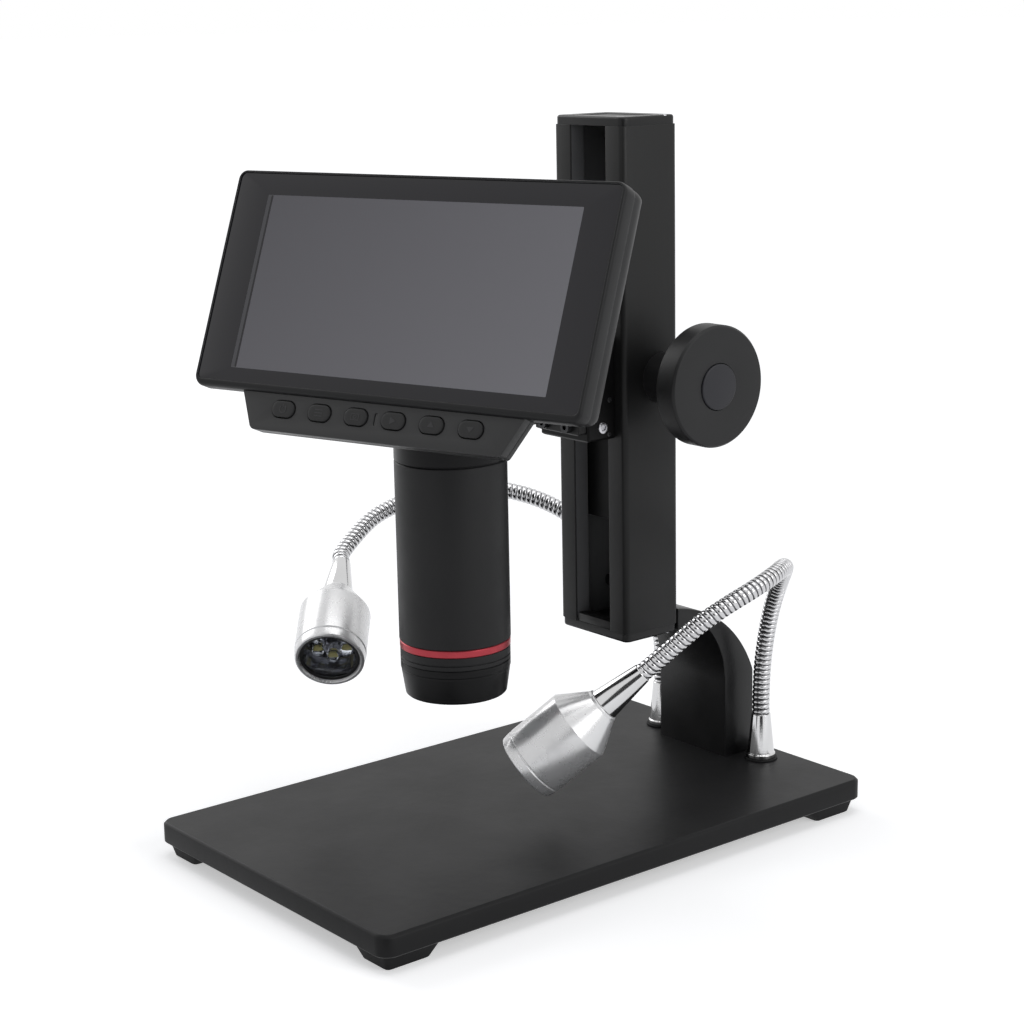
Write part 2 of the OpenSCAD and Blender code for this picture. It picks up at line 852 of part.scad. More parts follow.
module knob_caps() {
    color([0.2, 0.2, 0.21])
    translate([0, shaft_y, shaft_z])
        for (s = [90, -90])
            rotate([0, s, 0])
                translate([0, 0, knob_reach - 1.4])
                    union() {
                        cylinder(h = 1.6, d = knob_cap_d);
                        translate([0, 0, 1.6])
                            cylinder(h = 0.4, d1 = knob_cap_d, d2 = knob_cap_d - 0.8);
                    }
}

// ---------------------------------------------------------------- carriage

module carriage_slider() {
    neck_w = slot_w - 2 * run_gap;
    flange_w = col_cavity_w - 2 * face_gap;
    color(black_metal)
    difference() {
        union() {
            translate([0, carriage_y, carriage_z + carriage_h / 2])
                rotate([90, 0, 0])
                    bevelled_slab(carriage_w, carriage_h, carriage_d, 1.5, 0.6);
            translate([-neck_w / 2, carriage_y - 1, carriage_z])
                cube([neck_w, col_lip_t + face_gap + run_gap + 2, carriage_h]);
            translate([-flange_w / 2, slide_y, rack_z])
                cube([flange_w, slide_t, rack_l]);
        }
        for (p = side_screws)
            translate([carriage_w / 2 - p[3], p[0], p[1]])
                rotate([0, 90, 0])
                    cylinder(h = p[3] + 1, d = p[2] * 0.55);
        at_arm_screws()
            cylinder(h = 8, d = arm_screw2_d + 2 * screw_gap);
    }
}

// screws in the carriage's right side: Y, Z, head diameter, depth
side_screws = [
    [carriage_y - 4.8, carriage_z + 4.2, 4.6, 3.6],
    [carriage_y - 1.9, carriage_z + 12.6, 2.2, 3],
    [carriage_y - 2.2, carriage_z + 1.9, 2, 3]
];

module carriage_side_screws() {
    color(steel)
    for (p = side_screws)
        translate([carriage_w / 2, p[0], p[1]])
            rotate([0, 90, 0])
                union() {
                    translate([0, 0, -p[3] + 0.2])
                        cylinder(h = p[3], d = p[2] * 0.55 - 0.1);
                    rotate_extrude()
                        intersection() {
                            translate([0, -p[2] * 0.25])
                                circle(p[2] * 0.56);
                            square([p[2], p[2]]);
                        }
                }
}

// places the four screws between arm and carriage, +Z pointing into the carriage
module at_arm_screws() {
    for (sx = [-1, 1], sz = [-1, 1])
        translate([
            sx * arm_screw2_x, carriage_front,
            arm_plate_z + arm_plate_h / 2 + sz * (arm_plate_h / 2 - 2.4)
        ])
            rotate([-90, 0, 0])
                children();
}

module head_arm() {
    color(black_metal)
    difference() {
        union() {
            translate([0, 0, ring_z])
                cylinder(h = head_arm_h, r = ring_r);
            translate([-head_arm_w / 2, 0, ring_z])
                cube([head_arm_w, carriage_front - 1, head_arm_h]);
            translate([0, carriage_front, arm_plate_z + arm_plate_h / 2])
                rotate([90, 0, 0])
                    bevelled_slab(arm_plate_w, arm_plate_h, arm_plate_t, 1.2, 0.4);
            // boss of the clamp screw
            translate([-ring_r - 1.2, 0, ring_z + head_arm_h / 2])
                rotate([0, 90, 0])
                    cylinder(h = 3, d = clamp_d + 4);
        }
        translate([0, 0, ring_z - 1])
            cylinder(h = head_arm_h + 2, r = tube_r + fit_gap);
        translate([-ring_r - 2, 0, ring_z + head_arm_h / 2])
            rotate([0, 90, 0])
                cylinder(h = ring_wall + 3, d = clamp_d + 2 * screw_gap);
        at_arm_screws()
            translate([0, 0, -arm_plate_t - 1])
                cylinder(h = arm_plate_t + 2, d = arm_screw2_d + 2 * screw_gap);
    }
}

module arm_screws() {
    color(steel)
    at_arm_screws()
        translate([0, 0, -arm_plate_t - 1.6])
            mirror([0, 0, 1])
                flat_screw(arm_screw2_d, arm_plate_t + 8.6, 1.25 * arm_screw2_d, 1.6);
}

// knurled thumb screw that clamps the tube in the ring
module clamp_screw() {
    head_l = 4.4;
    color(steel)
    translate([-ring_r - 1.2 - head_l, 0, ring_z + head_arm_h / 2])
        rotate([0, 90, 0])
            union() {
                difference() {
                    cylinder(h = head_l, d = clamp_d + 4);
                    for (a = [0 : 30 : 330])
                        rotate([0, 0, a])
                            translate([clamp_d / 2 + 2.3, 0, -1])
                                cylinder(h = head_l + 2, d = 1, $fn = 16);
                }
                cylinder(h = head_l + ring_wall + 1, d = clamp_d);
            }
}

// ---------------------------------------------------------------- lens tube

module tube_collar() {
    color(black_metal)
    rotate([0, 0, head_yaw])
        rotate_extrude()
            polygon([
                [barrel_bore_r - 2, seam_z - spigot_l], [barrel_bore_r - fit_gap, seam_z - spigot_l],
                [barrel_bore_r - fit_gap, seam_z - 0.3], [tube_r - 0.5, seam_z - 0.3],
                [tube_r - 0.5, seam_z], [tube_r, seam_z],
                [tube_r, collar_top], [barrel_bore_r - 2, collar_top]
            ]);
}

module barrel() {
    color(black_metal)
    rotate([0, 0, head_yaw])
        rotate_extrude()
            polygon([
                [barrel_bore_r, barrel_z], [tube_r - 0.3, barrel_z],
                [tube_r, barrel_z + 0.3], [tube_r, seam_z - 0.6],
                [tube_r - 0.3, seam_z - 0.3], [barrel_bore_r, seam_z - 0.3]
            ]);
}

module accent_ring() {
    color([0.75, 0.13, 0.16])
    rotate_extrude()
        polygon([
            [barrel_bore_r, accent_z], [tube_r - 0.4, accent_z],
            [tube_r - 0.1, accent_z + 0.3], [tube_r - 0.1, barrel_z - 0.3],
            [tube_r - 0.4, barrel_z], [barrel_bore_r, barrel_z]
        ]);
}

// ring with three turned grooves and a spigot up into the barrel
module grip_ring() {
    groove = 0.35;
    grooves = 3;
    pitch = grip_h / grooves;
    color(black_metal)
    rotate_extrude()
        difference() {
            union() {
                translate([barrel_bore_r - 3, grip_z])
                    square([barrel_wall + 2.8, grip_h]);
                translate([barrel_bore_r - 3, grip_z])
                    square([3 - fit_gap, grip_h + accent_h + spigot_l]);
            }
            for (k = [0 : grooves - 1])
                translate([tube_r - 0.2, grip_z + (k + 0.5) * pitch])
                    circle(groove, $fn = 16);
        }
}

module lens_nose() {
    wide_r = tube_r - 0.2;
    lens_r = lens_d / 2;
    color(black_metal)
    rotate_extrude()
        polygon([
            [lens_r - 0.8, nose_z + 2.4], [nose_d / 2 - 1.6, nose_z],
            [nose_d / 2 - 0.5, nose_z], [nose_d / 2, nose_z + 0.5],
            [wide_r - 0.2, grip_z - 3], [wide_r - 0.2, grip_z - 2.4],
            [wide_r, grip_z - 2.2], [wide_r, grip_z],
            [lens_r + 0.05, grip_z], [lens_r + 0.05, nose_z + 3.6],
            [lens_r - 0.8, nose_z + 3.6]
        ]);
}

module objective_lens() {
    edge = 2.4;
    bulge = 1;
    r = lens_d / 2;
    ball = (r ^ 2 + bulge ^ 2) / (2 * bulge);
    color([0.25, 0.3, 0.38])
    rotate_extrude()
        intersection() {
            translate([0, nose_z + 3.6])
                square([r, edge + bulge]);
            union() {
                translate([0, nose_z + 3.6])
                    square([r, edge]);
                intersection() {
                    translate([0, nose_z + 3.6 + edge + bulge - ball])
                        circle(ball, $fn = 128);
                    translate([0, nose_z + 3.6 + edge])
                        square([r, bulge]);
                }
            }
        }
}

// image sensor's round board on top of the collar's bore
module sensor_board() {
    color([0.1, 0.35, 0.2])
    rotate([0, 0, head_yaw])
        translate([0, 0, collar_top - 4])
            union() {
                cylinder(h = 1.6, r = barrel_bore_r - 2.05);
                translate([-4, -3, -1.2])
                    cube([8, 6, 1.3]);
            }
}

// ---------------------------------------------------------------- screen head

// slab on the screen's frame, its front at z and its back at z - t
module screen_slab(w, h, t, r, z) {
    translate([0, 0, z - t])
        linear_extrude(t)
            rounded_rect(w, h, r);
}

glass_w = head_w - 2 * bezel;
glass_h = head_h - 2 * bezel;

module front_frame() {
    color(black_plastic)
    on_screen()
        difference() {
            translate([head_shift, 0, frame_back])
                bevelled_slab(head_w, head_h, frame_t, head_r, 0.7);
            translate([head_shift, 0, 0])
                screen_slab(glass_w + 2 * glass_gap, glass_h + 2 * glass_gap,
                            glass_t + lip + 1, head_r - bezel, lip + 1);
            screen_slab(lcd_frame_w + 0.4, lcd_frame_h + 0.4, frame_t + 2, 1, lip + 1);
            translate([head_shift, 0, frame_back + 1.5])
                screen_slab(head_w - 2 * shell_t - 2, head_h - 2 * shell_t - 2,
                            3, head_r - 2, 0);
            at_cover_screws()
                translate([0, 0, frame_back - 1])
                    cylinder(h = 3.4, d = cover_screw_d - 0.6);
        }
}

module cover_glass() {
    color([0.08, 0.08, 0.09])
    on_screen()
        translate([head_shift, 0, 0])
            screen_slab(glass_w, glass_h, glass_t, head_r - bezel - 0.1, 0);
}

module lcd_panel() {
    color([0.3, 0.31, 0.33])
    on_screen()
        screen_slab(lcd_frame_w, lcd_frame_h, lcd_t, 0.8, -glass_t);
}

module at_cover_screws() {
    for (sx = [-1, 1], sy = [-1, 1])
        translate([head_shift + sx * cover_screw_x, sy * cover_screw_y, 0])
            children();
}

// outline of the control strip, seen from the front
module strip_outline() {
    polygon([
        [-strip_top_w / 2, strip_y], [strip_top_w / 2, strip_y],
        [strip_low_w / 2, strip_y - strip_h], [-strip_low_w / 2, strip_y - strip_h]
    ]);
}

// part of the head that stands round the tube, in the head's own upright frame
module tower() {
    translate([0, 0, tower_z])
        cylinder(h = tower_top - tower_z - 3, r = tower_r);
    translate([0, 0, tower_top - 3])
        cylinder(h = 3, r1 = tower_r, r2 = tower_r - 3);
}

module rear_cover() {
    cavity_w = head_w - 2 * cover_inset - 2 * shell_t;
    cavity_h = head_h - 2 * cover_inset - 2 * shell_t;
    color(black_plastic)
    difference() {
        union() {
            on_screen()
                translate([head_shift, 0, frame_back])
                    mirror([0, 0, 1])
                        bevelled_slab(head_w - 2 * cover_inset, head_h - 2 * cover_inset,
                                      cover_t, head_r - 0.4, cover_bevel);
            rotate([0, 0, head_yaw])
                difference() {
                    tower();
                    rotate([0, 0, -head_yaw])
                        on_screen()
                            translate([-head_w / 2, -head_w / 2, cavity_back])
                                cube([head_w, head_w, head_w / 2]);
                }
            // shelf that closes the control strip from behind, with a root into the cover
            on_screen()
                translate([0, 0, strip_back - shelf_t])
                    linear_extrude(shelf_t)
                        strip_outline();
            on_screen()
                translate([-strip_low_w / 2, strip_y - 1, strip_back - shelf_t])
                    cube([strip_low_w, cover_inset + 2.6, frame_back - strip_back + shelf_t]);
        }
        // space for the boards
        on_screen()
            difference() {
                translate([head_shift, 0, 0])
                    screen_slab(cavity_w, cavity_h, frame_back - cavity_back + 1, head_r - 2,
                                frame_back + 1);
                at_cover_screws()
                    translate([0, 0, cavity_back - 1])
                        cylinder(h = cover_t, d = 2 * cover_screw_d + 0.6);
                for (sx = [-1, 1], sy = [-1, 1])
                    translate([head_shift + sx * (board_w / 2 - 4), sy * (board_h / 2 - 4),
                               cavity_back - 1])
                        cylinder(h = board_boss + 1, d = 6);
            }
        // bore for the top of the tube
        translate([0, 0, tower_z - 1])
            cylinder(h = collar_top - tower_z + 1, r = tube_r + fit_gap);
        // room above the tube for the wires from the sensor board
        rotate([0, 0, head_yaw])
            translate([0, 0, collar_top - 1])
                cylinder(h = tower_top - tower_wall - collar_top - 2, r = tube_r - 2);
        on_screen()
            at_cover_screws()
                translate([0, 0, cover_back])
                    mirror([0, 0, 1])
                        flat_screw_hole(cover_screw_d, cover_t + 1, 5.4, 1.6);
        on_screen()
            translate([head_shift - head_w / 2 - 1, inlet_y, inlet_z])
                rotate([0, 90, 0])
                    linear_extrude(shell_t + cover_inset + 2)
                        square([inlet_h + 0.1, inlet_w + 0.1], center = true);
    }
}

module rear_cover_screws() {
    color(steel)
    on_screen()
        at_cover_screws()
            translate([0, 0, cover_back + 0.2])
                mirror([0, 0, 1])
                    flat_screw(cover_screw_d - 0.7, cover_screw_l, 5.2, 1.3);
}

module main_board() {
    color([0.08, 0.3, 0.18])
    on_screen()
        translate([head_shift - board_w / 2, -board_h / 2, cavity_back + board_boss])
            cube([board_w, board_h, board_t]);
}

// socket for the supply in the left side of the housing
module power_inlet() {
    color(steel)
    on_screen()
        translate([head_shift - head_w / 2 + cover_inset + 0.2, inlet_y, inlet_z])
            rotate([0, 90, 0])
                linear_extrude(inlet_l)
                    difference() {
                        square([inlet_h, inlet_w], center = true);
                        square([inlet_h - 2 * inlet_wall, inlet_w - 2 * inlet_wall],
                               center = true);
                    }
}

module control_panel() {
    color(black_plastic)
    on_screen()
        difference() {
            translate([0, 0, strip_back])
                linear_extrude(strip_t)
                    strip_outline();
            translate([0, button_y, strip_back - 1])
                linear_extrude(strip_t - strip_shell + 1)
                    square([button_count * button_pitch, button_w + 3], center = true);
            for (k = [0 : button_count - 1])
                translate([button_x(k), button_y, strip_back])
                    linear_extrude(strip_t + 1)
                        pill(button_l + 2 * button_gap, button_w + 2 * button_gap);
        }
}

function button_x(k) = (k - (button_count - 1) / 2) * button_pitch;

module button(k) {
    base = strip_front - strip_shell - button_gap;
    color(black_plastic)
    on_screen()
        translate([button_x(k), button_y, 0]) {
            translate([0, 0, base - button_skirt_t])
                linear_extrude(button_skirt_t)
                    pill(button_l + 2 * button_flange, button_w + 2 * button_flange);
            translate([0, 0, base - button_skirt_t])
                linear_extrude(strip_front - base + button_skirt_t + button_proud - 0.3)
                    pill(button_l, button_w);
            translate([0, 0, strip_front + button_proud - 0.3])
                linear_extrude(0.3)
                    pill(button_l - 0.6, button_w - 0.6);
        }
}

// ---------------------------------------------------------------- lamps

module socket_washers() {
    color(black_plastic)
    for (s = [-1, 1])
        translate([s * socket_gap / 2, socket_y, 0])
            difference() {
                cylinder(h = washer_t, d = washer_d);
                translate([0, 0, -1])
                    cylinder(h = washer_t + 2, r = post_r + fit_gap);
            }
}

module lamp_lock_screws() {
    color(steel)
    for (s = [-1, 1])
        translate([s * (socket_gap / 2 + lock_screw_off), socket_y + lock_screw_y, -0.2])
            difference() {
                translate([0, 0, 1 - plate_t])
                    cylinder(h = plate_t - 1, d = lock_screw_d);
                translate([0, 0, -1.4])
                    cylinder(h = 2, d = 0.5 * lock_screw_d, $fn = 6);
            }
}

// base ferrule with its post down through the plate
module lamp_base(socket) {
    color(silver)
    translate([socket[0], socket[1], 0])
        rotate_extrude()
            polygon([
                [neck_bore / 2, 0.3 - plate_t], [post_r, 0.3 - plate_t], [post_r, washer_t],
                [ferrule_base_d / 2, washer_t], [ferrule_base_d / 2, washer_t + 1.2],
                [ferrule_base_d / 2 - 0.4, washer_t + 1.6],
                [ferrule_top_d / 2, ferrule_base_h], [neck_bore / 2, ferrule_base_h]
            ]);
}

// smooth curve through a list of points, at place t of the stretch after point i
function spline(p, i, t) =
    let (last = len(p) - 1)
    let (a = i > 0 ? p[i - 1] : 2 * p[0] - p[1])
    let (b = p[i], c = p[i + 1])
    let (d = i + 2 <= last ? p[i + 2] : 2 * p[last] - p[last - 1])
    0.5 * (2 * b + t * (c - a) + t ^ 2 * (2 * a - 5 * b + 4 * c - d)
           + t ^ 3 * (3 * b - a - 3 * c + d));

// the curve as short steps, and its length up to each of them
spline_steps = 8;
function fine_route(p) = concat(
    [for (i = [0 : len(p) - 2], k = [0 : spline_steps - 1]) spline(p, i, k / spline_steps)],
    [p[len(p) - 1]]
);
function lengths(q, i = 0, total = 0) =
    i == len(q) - 1 ? [total]
    : concat([total], lengths(q, i + 1, total + norm(q[i + 1] - q[i])));
function stretch(l, s) = max([for (i = [0 : len(l) - 2]) l[i] <= s ? i : 0]);
function at_length(q, l, s) =
    let (i = stretch(l, s))
    q[i] + (q[i + 1] - q[i]) * (s - l[i]) / (l[i + 1] - l[i]);
function unit(v) = v / norm(v);

// direction of the curve at the place s
function way(q, l, s) =
    let (total = l[len(l) - 1])
    let (ahead = at_length(q, l, min(s + way_reach, total - 0.001)))
    let (behind = at_length(q, l, max(s - way_reach, 0)))
    unit(ahead - behind);

// ring of points round the place s of a curve, square to the direction along
function neck_ring(q, l, s, r, along) =
    let (here = at_length(q, l, min(s, l[len(l) - 1] - 0.001)))
    let (u = unit(cross(along, [1, 0, 0])))
    let (v = cross(along, u))
    [for (k = [0 : neck_sides - 1])
        here + r * (cos(k * 360 / neck_sides) * u + sin(k * 360 / neck_sides) * v)];

// a metal gooseneck: one tube whose outside rises and falls once for each rib
module ribbed_neck(route) {
    q = fine_route(route);
    l = lengths(q);
    total = l[len(l) - 1];
    ribs = round(total / neck_pitch);
    half = total / ribs / 2;
    out_of = unit(route[1] - route[0]);
    into = unit(route[len(route) - 1] - route[len(route) - 2]);
    outer = [
        for (k = [0 : 2 * ribs])
            neck_ring(q, l, k * half, neck_d / 2 - (k % 2 == 0 ? neck_groove : 0),
                      k == 0 ? out_of : k == 2 * ribs ? into : way(q, l, k * half))
    ];
    bore_steps = 2 * round(total / 12);
    inner = [
        for (k = [0 : bore_steps])
            neck_ring(q, l, k * total / bore_steps, neck_bore / 2,
                      k == 0 ? out_of : k == bore_steps ? into
                      : way(q, l, k * total / bore_steps))
    ];
    n = neck_sides;
    rows = 2 * ribs + 1;
    inner_at = rows * n;
    points = [for (ring = outer) each ring, for (ring = inner) each ring];
    skin = [
        for (k = [0 : rows - 2], j = [0 : n - 1])
            let (a = k * n + j, b = k * n + (j + 1) % n)
            each [[a, b, b + n], [a, b + n, a + n]]
    ];
    bore = [
        for (k = [0 : bore_steps - 1], j = [0 : n - 1])
            let (a = inner_at + k * n + j, b = inner_at + k * n + (j + 1) % n)
            each [[a, b + n, b], [a, a + n, b + n]]
    ];
    start = [
        for (j = [0 : n - 1])
            let (a = j, b = (j + 1) % n, c = inner_at + j, d = inner_at + (j + 1) % n)
            each [[a, c, d], [a, d, b]]
    ];
    finish = [
        for (j = [0 : n - 1])
            let (a = (rows - 1) * n + j, b = (rows - 1) * n + (j + 1) % n)
            let (c = inner_at + bore_steps * n + j, d = inner_at + bore_steps * n + (j + 1) % n)
            each [[a, d, c], [a, b, d]]
    ];
    echo(neck_length = total, neck_ribs = ribs, least_gap = least_gap(q, l));
    color(silver)
        polyhedron(points, concat(skin, bore, start, finish));
}

// least gap between stretches of a neck that lie more than three diameters apart on it
function least_gap(q, l) =
    let (far = 3 * neck_d)
    min([
        for (i = [0 : 4 : len(q) - 1], j = [0 : 4 : len(q) - 1])
            if (l[j] - l[i] > far) norm(q[j] - q[i]) - neck_d
    ]);

module lamp_ferrule() {
    color(silver)
    rotate_extrude()
        polygon([
            [neck_bore / 2, -lamp_len], [ferrule_top_d / 2, -lamp_len],
            [ferrule_wide_d / 2, ferrule_l - lamp_len], [neck_bore / 2, ferrule_l - lamp_len]
        ]);
}

module lamp_shell() {
    r = lamp_d / 2;
    back = -lamp_body_l - lamp_cone_l;
    color(silver)
    rotate_extrude()
        polygon([
            [neck_bore / 2, back], [cone_top_d / 2, back],
            [cone_top_d / 2 + 0.3, back + 0.9], [r - 0.4, 0.3 - lamp_body_l],
            [r, -lamp_body_l - 0.4 + 1], [r - 0.1, -4], [r - 0.6, -3.7], [r - 0.6, -3.2],
            [r - 0.2, -2.9], [rim_d / 2, -0.4], [rim_d / 2 - 0.4, 0],
            [lamp_bore_d / 2 + 0.6, 0], [lamp_bore_d / 2 + 0.2, -lens_seat],
            [lamp_bore_d / 2, -lens_seat], [lamp_bore_d / 2, -lens_seat - lamp_lens_t - reflector_l],
            [neck_bore / 2, -lens_seat - lamp_lens_t - reflector_l]
        ]);
}

module lamp_reflector() {
    top = -lens_seat - lamp_lens_t;
    r = lamp_bore_d / 2 - 0.05;
    color([0.3, 0.3, 0.31])
    rotate_extrude()
        polygon([
            [0, top - reflector_l], [r, top - reflector_l], [r, top],
            [r - 0.8, top], [r - 1.1, top - 2], [r - 1.7, top - 4.4],
            [r - 2.4, top - 6], [0, top - 6]
        ]);
}

module lamp_led_ring() {
    floor_z = -lens_seat - lamp_lens_t - 6;
    color([0.95, 0.95, 0.85])
    for (k = [0 : lamp_leds - 1])
        rotate([0, 0, k * 360 / lamp_leds])
            translate([led_ring_r, 0, floor_z])
                rotate_extrude($fn = 24)
                    union() {
                        square([led_d / 2 + 0.3, 0.6]);
                        square([led_d / 2, 1.4]);
                        translate([0, 1.4])
                            intersection() {
                                circle(led_d / 2);
                                square(led_d);
                            }
                    }
}

module lamp_lens() {
    color([0.8, 0.85, 0.9])
    translate([0, 0, -lens_seat - lamp_lens_t])
        cylinder(h = lamp_lens_t, d = lamp_bore_d - 0.1);
}

// ---------------------------------------------------------------- the model

base_plate();
base_feet();
foot_screws();
support_arm();
arm_base_screws();
column();
column_top_cap();
column_bottom_cap();
cap_screws();
column_arm_screws();
shaft_bushes();
socket_washers();
lamp_lock_screws();
carriage_slider();
rack();
carriage_side_screws();
head_arm();
arm_screws();
clamp_screw();
focus_shaft();
pinion();
knob_right();
knob_left();
knob_caps();
front_frame();
cover_glass();
lcd_panel();
rear_cover();
rear_cover_screws();
main_board();
control_panel();
power_inlet();
tube_collar();
barrel();
accent_ring();
grip_ring();
lens_nose();
objective_lens();
sensor_board();
button(0);  // button_1
button(1);  // button_2
button(2);  // button_3
button(3);  // button_4
button(4);  // button_5
button(5);  // button_6
lamp_base(socket_r);  // lamp_right_base
ribbed_neck(route_r);  // lamp_right_neck
at_lamp(rim_r, lamp_r_heading, lamp_r_dip) lamp_ferrule();  // lamp_right_ferrule
at_lamp(rim_r, lamp_r_heading, lamp_r_dip) lamp_shell();  // lamp_right_shell
at_lamp(rim_r, lamp_r_heading, lamp_r_dip) lamp_reflector();  // lamp_right_reflector
at_lamp(rim_r, lamp_r_heading, lamp_r_dip) lamp_led_ring();  // lamp_right_leds
at_lamp(rim_r, lamp_r_heading, lamp_r_dip) lamp_lens();  // lamp_right_lens
lamp_base(socket_l);  // lamp_left_base
ribbed_neck(route_l);  // lamp_left_neck
at_lamp(rim_l, lamp_l_heading, lamp_l_dip) lamp_ferrule();  // lamp_left_ferrule
at_lamp(rim_l, lamp_l_heading, lamp_l_dip) lamp_shell();  // lamp_left_shell
at_lamp(rim_l, lamp_l_heading, lamp_l_dip) lamp_reflector();  // lamp_left_reflector
at_lamp(rim_l, lamp_l_heading, lamp_l_dip) lamp_led_ring();  // lamp_left_leds
at_lamp(rim_l, lamp_l_heading, lamp_l_dip) lamp_lens();  // lamp_left_lens
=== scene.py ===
import math

import bmesh
import bpy
from mathutils import Matrix, Vector


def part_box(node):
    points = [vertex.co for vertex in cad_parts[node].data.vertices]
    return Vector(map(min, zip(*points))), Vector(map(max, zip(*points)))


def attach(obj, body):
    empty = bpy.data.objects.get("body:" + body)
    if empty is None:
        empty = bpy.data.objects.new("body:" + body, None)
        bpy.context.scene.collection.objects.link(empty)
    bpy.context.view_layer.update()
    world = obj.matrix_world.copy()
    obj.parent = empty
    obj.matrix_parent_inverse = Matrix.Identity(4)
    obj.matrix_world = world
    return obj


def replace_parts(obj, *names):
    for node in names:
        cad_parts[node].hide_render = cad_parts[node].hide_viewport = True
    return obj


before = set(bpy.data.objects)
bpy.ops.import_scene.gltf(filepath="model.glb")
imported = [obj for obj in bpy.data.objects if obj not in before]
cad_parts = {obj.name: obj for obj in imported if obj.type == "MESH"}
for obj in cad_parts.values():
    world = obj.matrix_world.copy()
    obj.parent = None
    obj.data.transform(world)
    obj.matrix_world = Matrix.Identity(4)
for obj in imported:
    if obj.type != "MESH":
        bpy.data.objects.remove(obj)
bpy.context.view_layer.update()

# ------------------------------------------------------------ camera, lamps and floor
# The camera stands in front and to the right of the microscope, a little above it, with
# a short telephoto lens. Three large soft boxes and a pale room light it, and it stands
# on a white table.
turn, rise, tilt = math.radians(51.33), math.radians(12.88), math.radians(-1.154)
away = Vector((math.sin(turn) * math.cos(rise), -math.cos(turn) * math.cos(rise), math.sin(rise)))
level = Vector((math.cos(turn), math.sin(turn), 0))
over = away.cross(level)
right = math.cos(tilt) * level + math.sin(tilt) * over
upward = math.cos(tilt) * over - math.sin(tilt) * level
photo_lens = bpy.data.cameras.new("camera")
photo_lens.lens = 76.81
photo_lens.sensor_width = 36
photo_lens.clip_start = 0.01
camera = bpy.data.objects.new("camera", photo_lens)
camera.matrix_world = (
    Matrix.Translation((0.51107, -0.38587, 0.24269))
    @ Matrix((right, upward, away)).transposed().to_4x4()
)
bpy.context.scene.collection.objects.link(camera)
bpy.context.scene.camera = camera
bpy.context.scene.view_settings.view_transform = "Standard"

for name, spot, size, watts in (
    ("soft_box_left", (-1.35, -0.15, 0.85), 0.8, 6),
    ("soft_box_right", (1.25, 0.35, 0.7), 0.7, 5),
    ("soft_box_above", (0.1, 0.1, 1.5), 1.0, 5),
):
    glow = bpy.data.lights.new(name, "AREA")
    glow.size = size
    glow.energy = watts
    box = bpy.data.objects.new(name, glow)
    box.location = spot
    box.rotation_euler = (Vector((0, 0, 0.08)) - Vector(spot)).to_track_quat("-Z", "Y").to_euler()
    bpy.context.scene.collection.objects.link(box)

room = bpy.data.worlds.new("room")
room.use_nodes = True
bpy.context.scene.world = room
room_nodes, room_links = room.node_tree.nodes, room.node_tree.links
walls = room_nodes["Background"]
walls.inputs["Color"].default_value = (0.93, 0.95, 1, 1)
walls.inputs["Strength"].default_value = 0.36
backdrop = room_nodes.new("ShaderNodeBackground")
backdrop.inputs["Color"].default_value = (1, 1, 1, 1)


def seen_directly(nodes, links):
    """1 for what the camera sees directly, in a mirror or through glass, otherwise 0."""
    path = nodes.new("ShaderNodeLightPath")
    either = nodes.new("ShaderNodeMath")
    either.operation = "MAXIMUM"
    links.new(path.outputs["Is Camera Ray"], either.inputs[0])
    links.new(path.outputs["Is Glossy Ray"], either.inputs[1])
    any_of = nodes.new("ShaderNodeMath")
    any_of.operation = "MAXIMUM"
    links.new(either.outputs[0], any_of.inputs[0])
    links.new(path.outputs["Is Transmission Ray"], any_of.inputs[1])
    return any_of.outputs[0]


blend = room_nodes.new("ShaderNodeMixShader")
room_links.new(seen_directly(room_nodes, room_links), blend.inputs[0])
room_links.new(walls.outputs[0], blend.inputs[1])
room_links.new(backdrop.outputs[0], blend.inputs[2])
room_links.new(blend.outputs[0], room_nodes["World Output"].inputs["Surface"])

table_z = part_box("base_feet")[0].z
table_mesh = bpy.data.meshes.new("table_top")
table_mesh.from_pydata(
    [(x, y, table_z) for x, y in ((-30, -30), (30, -30), (30, 30), (-30, 30))], [], [(0, 1, 2, 3)]
)
table_top = bpy.data.objects.new("table_top", table_mesh)
bpy.context.scene.collection.objects.link(table_top)
white = bpy.data.materials.new("white table")
white.use_nodes = True
white_nodes, white_links = white.node_tree.nodes, white.node_tree.links
white_nodes.remove(white_nodes["Principled BSDF"])
paint = white_nodes.new("ShaderNodeBsdfDiffuse")
paint.inputs["Color"].default_value = (0.86, 0.86, 0.86, 1)
lift = white_nodes.new("ShaderNodeEmission")
lift_level = white_nodes.new("ShaderNodeMath")
lift_level.operation = "MULTIPLY"
white_links.new(seen_directly(white_nodes, white_links), lift_level.inputs[0])
white_links.new(lift_level.outputs[0], lift.inputs["Strength"])
table_at = white_nodes.new("ShaderNodeTexCoord")
reach = white_nodes.new("ShaderNodeVectorMath")
reach.operation = "LENGTH"
white_links.new(table_at.outputs["Object"], reach.inputs[0])
fade = white_nodes.new("ShaderNodeMapRange")
fade.inputs["From Min"].default_value = 0.5
fade.inputs["From Max"].default_value = 3.0
fade.inputs["To Min"].default_value = 0.455
fade.inputs["To Max"].default_value = 0.82
white_links.new(reach.outputs["Value"], fade.inputs["Value"])
white_links.new(fade.outputs["Result"], lift_level.inputs[1])
both = white_nodes.new("ShaderNodeAddShader")
white_links.new(paint.outputs[0], both.inputs[0])
white_links.new(lift.outputs[0], both.inputs[1])
white_links.new(both.outputs[0], white_nodes["Material Output"].inputs["Surface"])
table_mesh.materials.append(white)

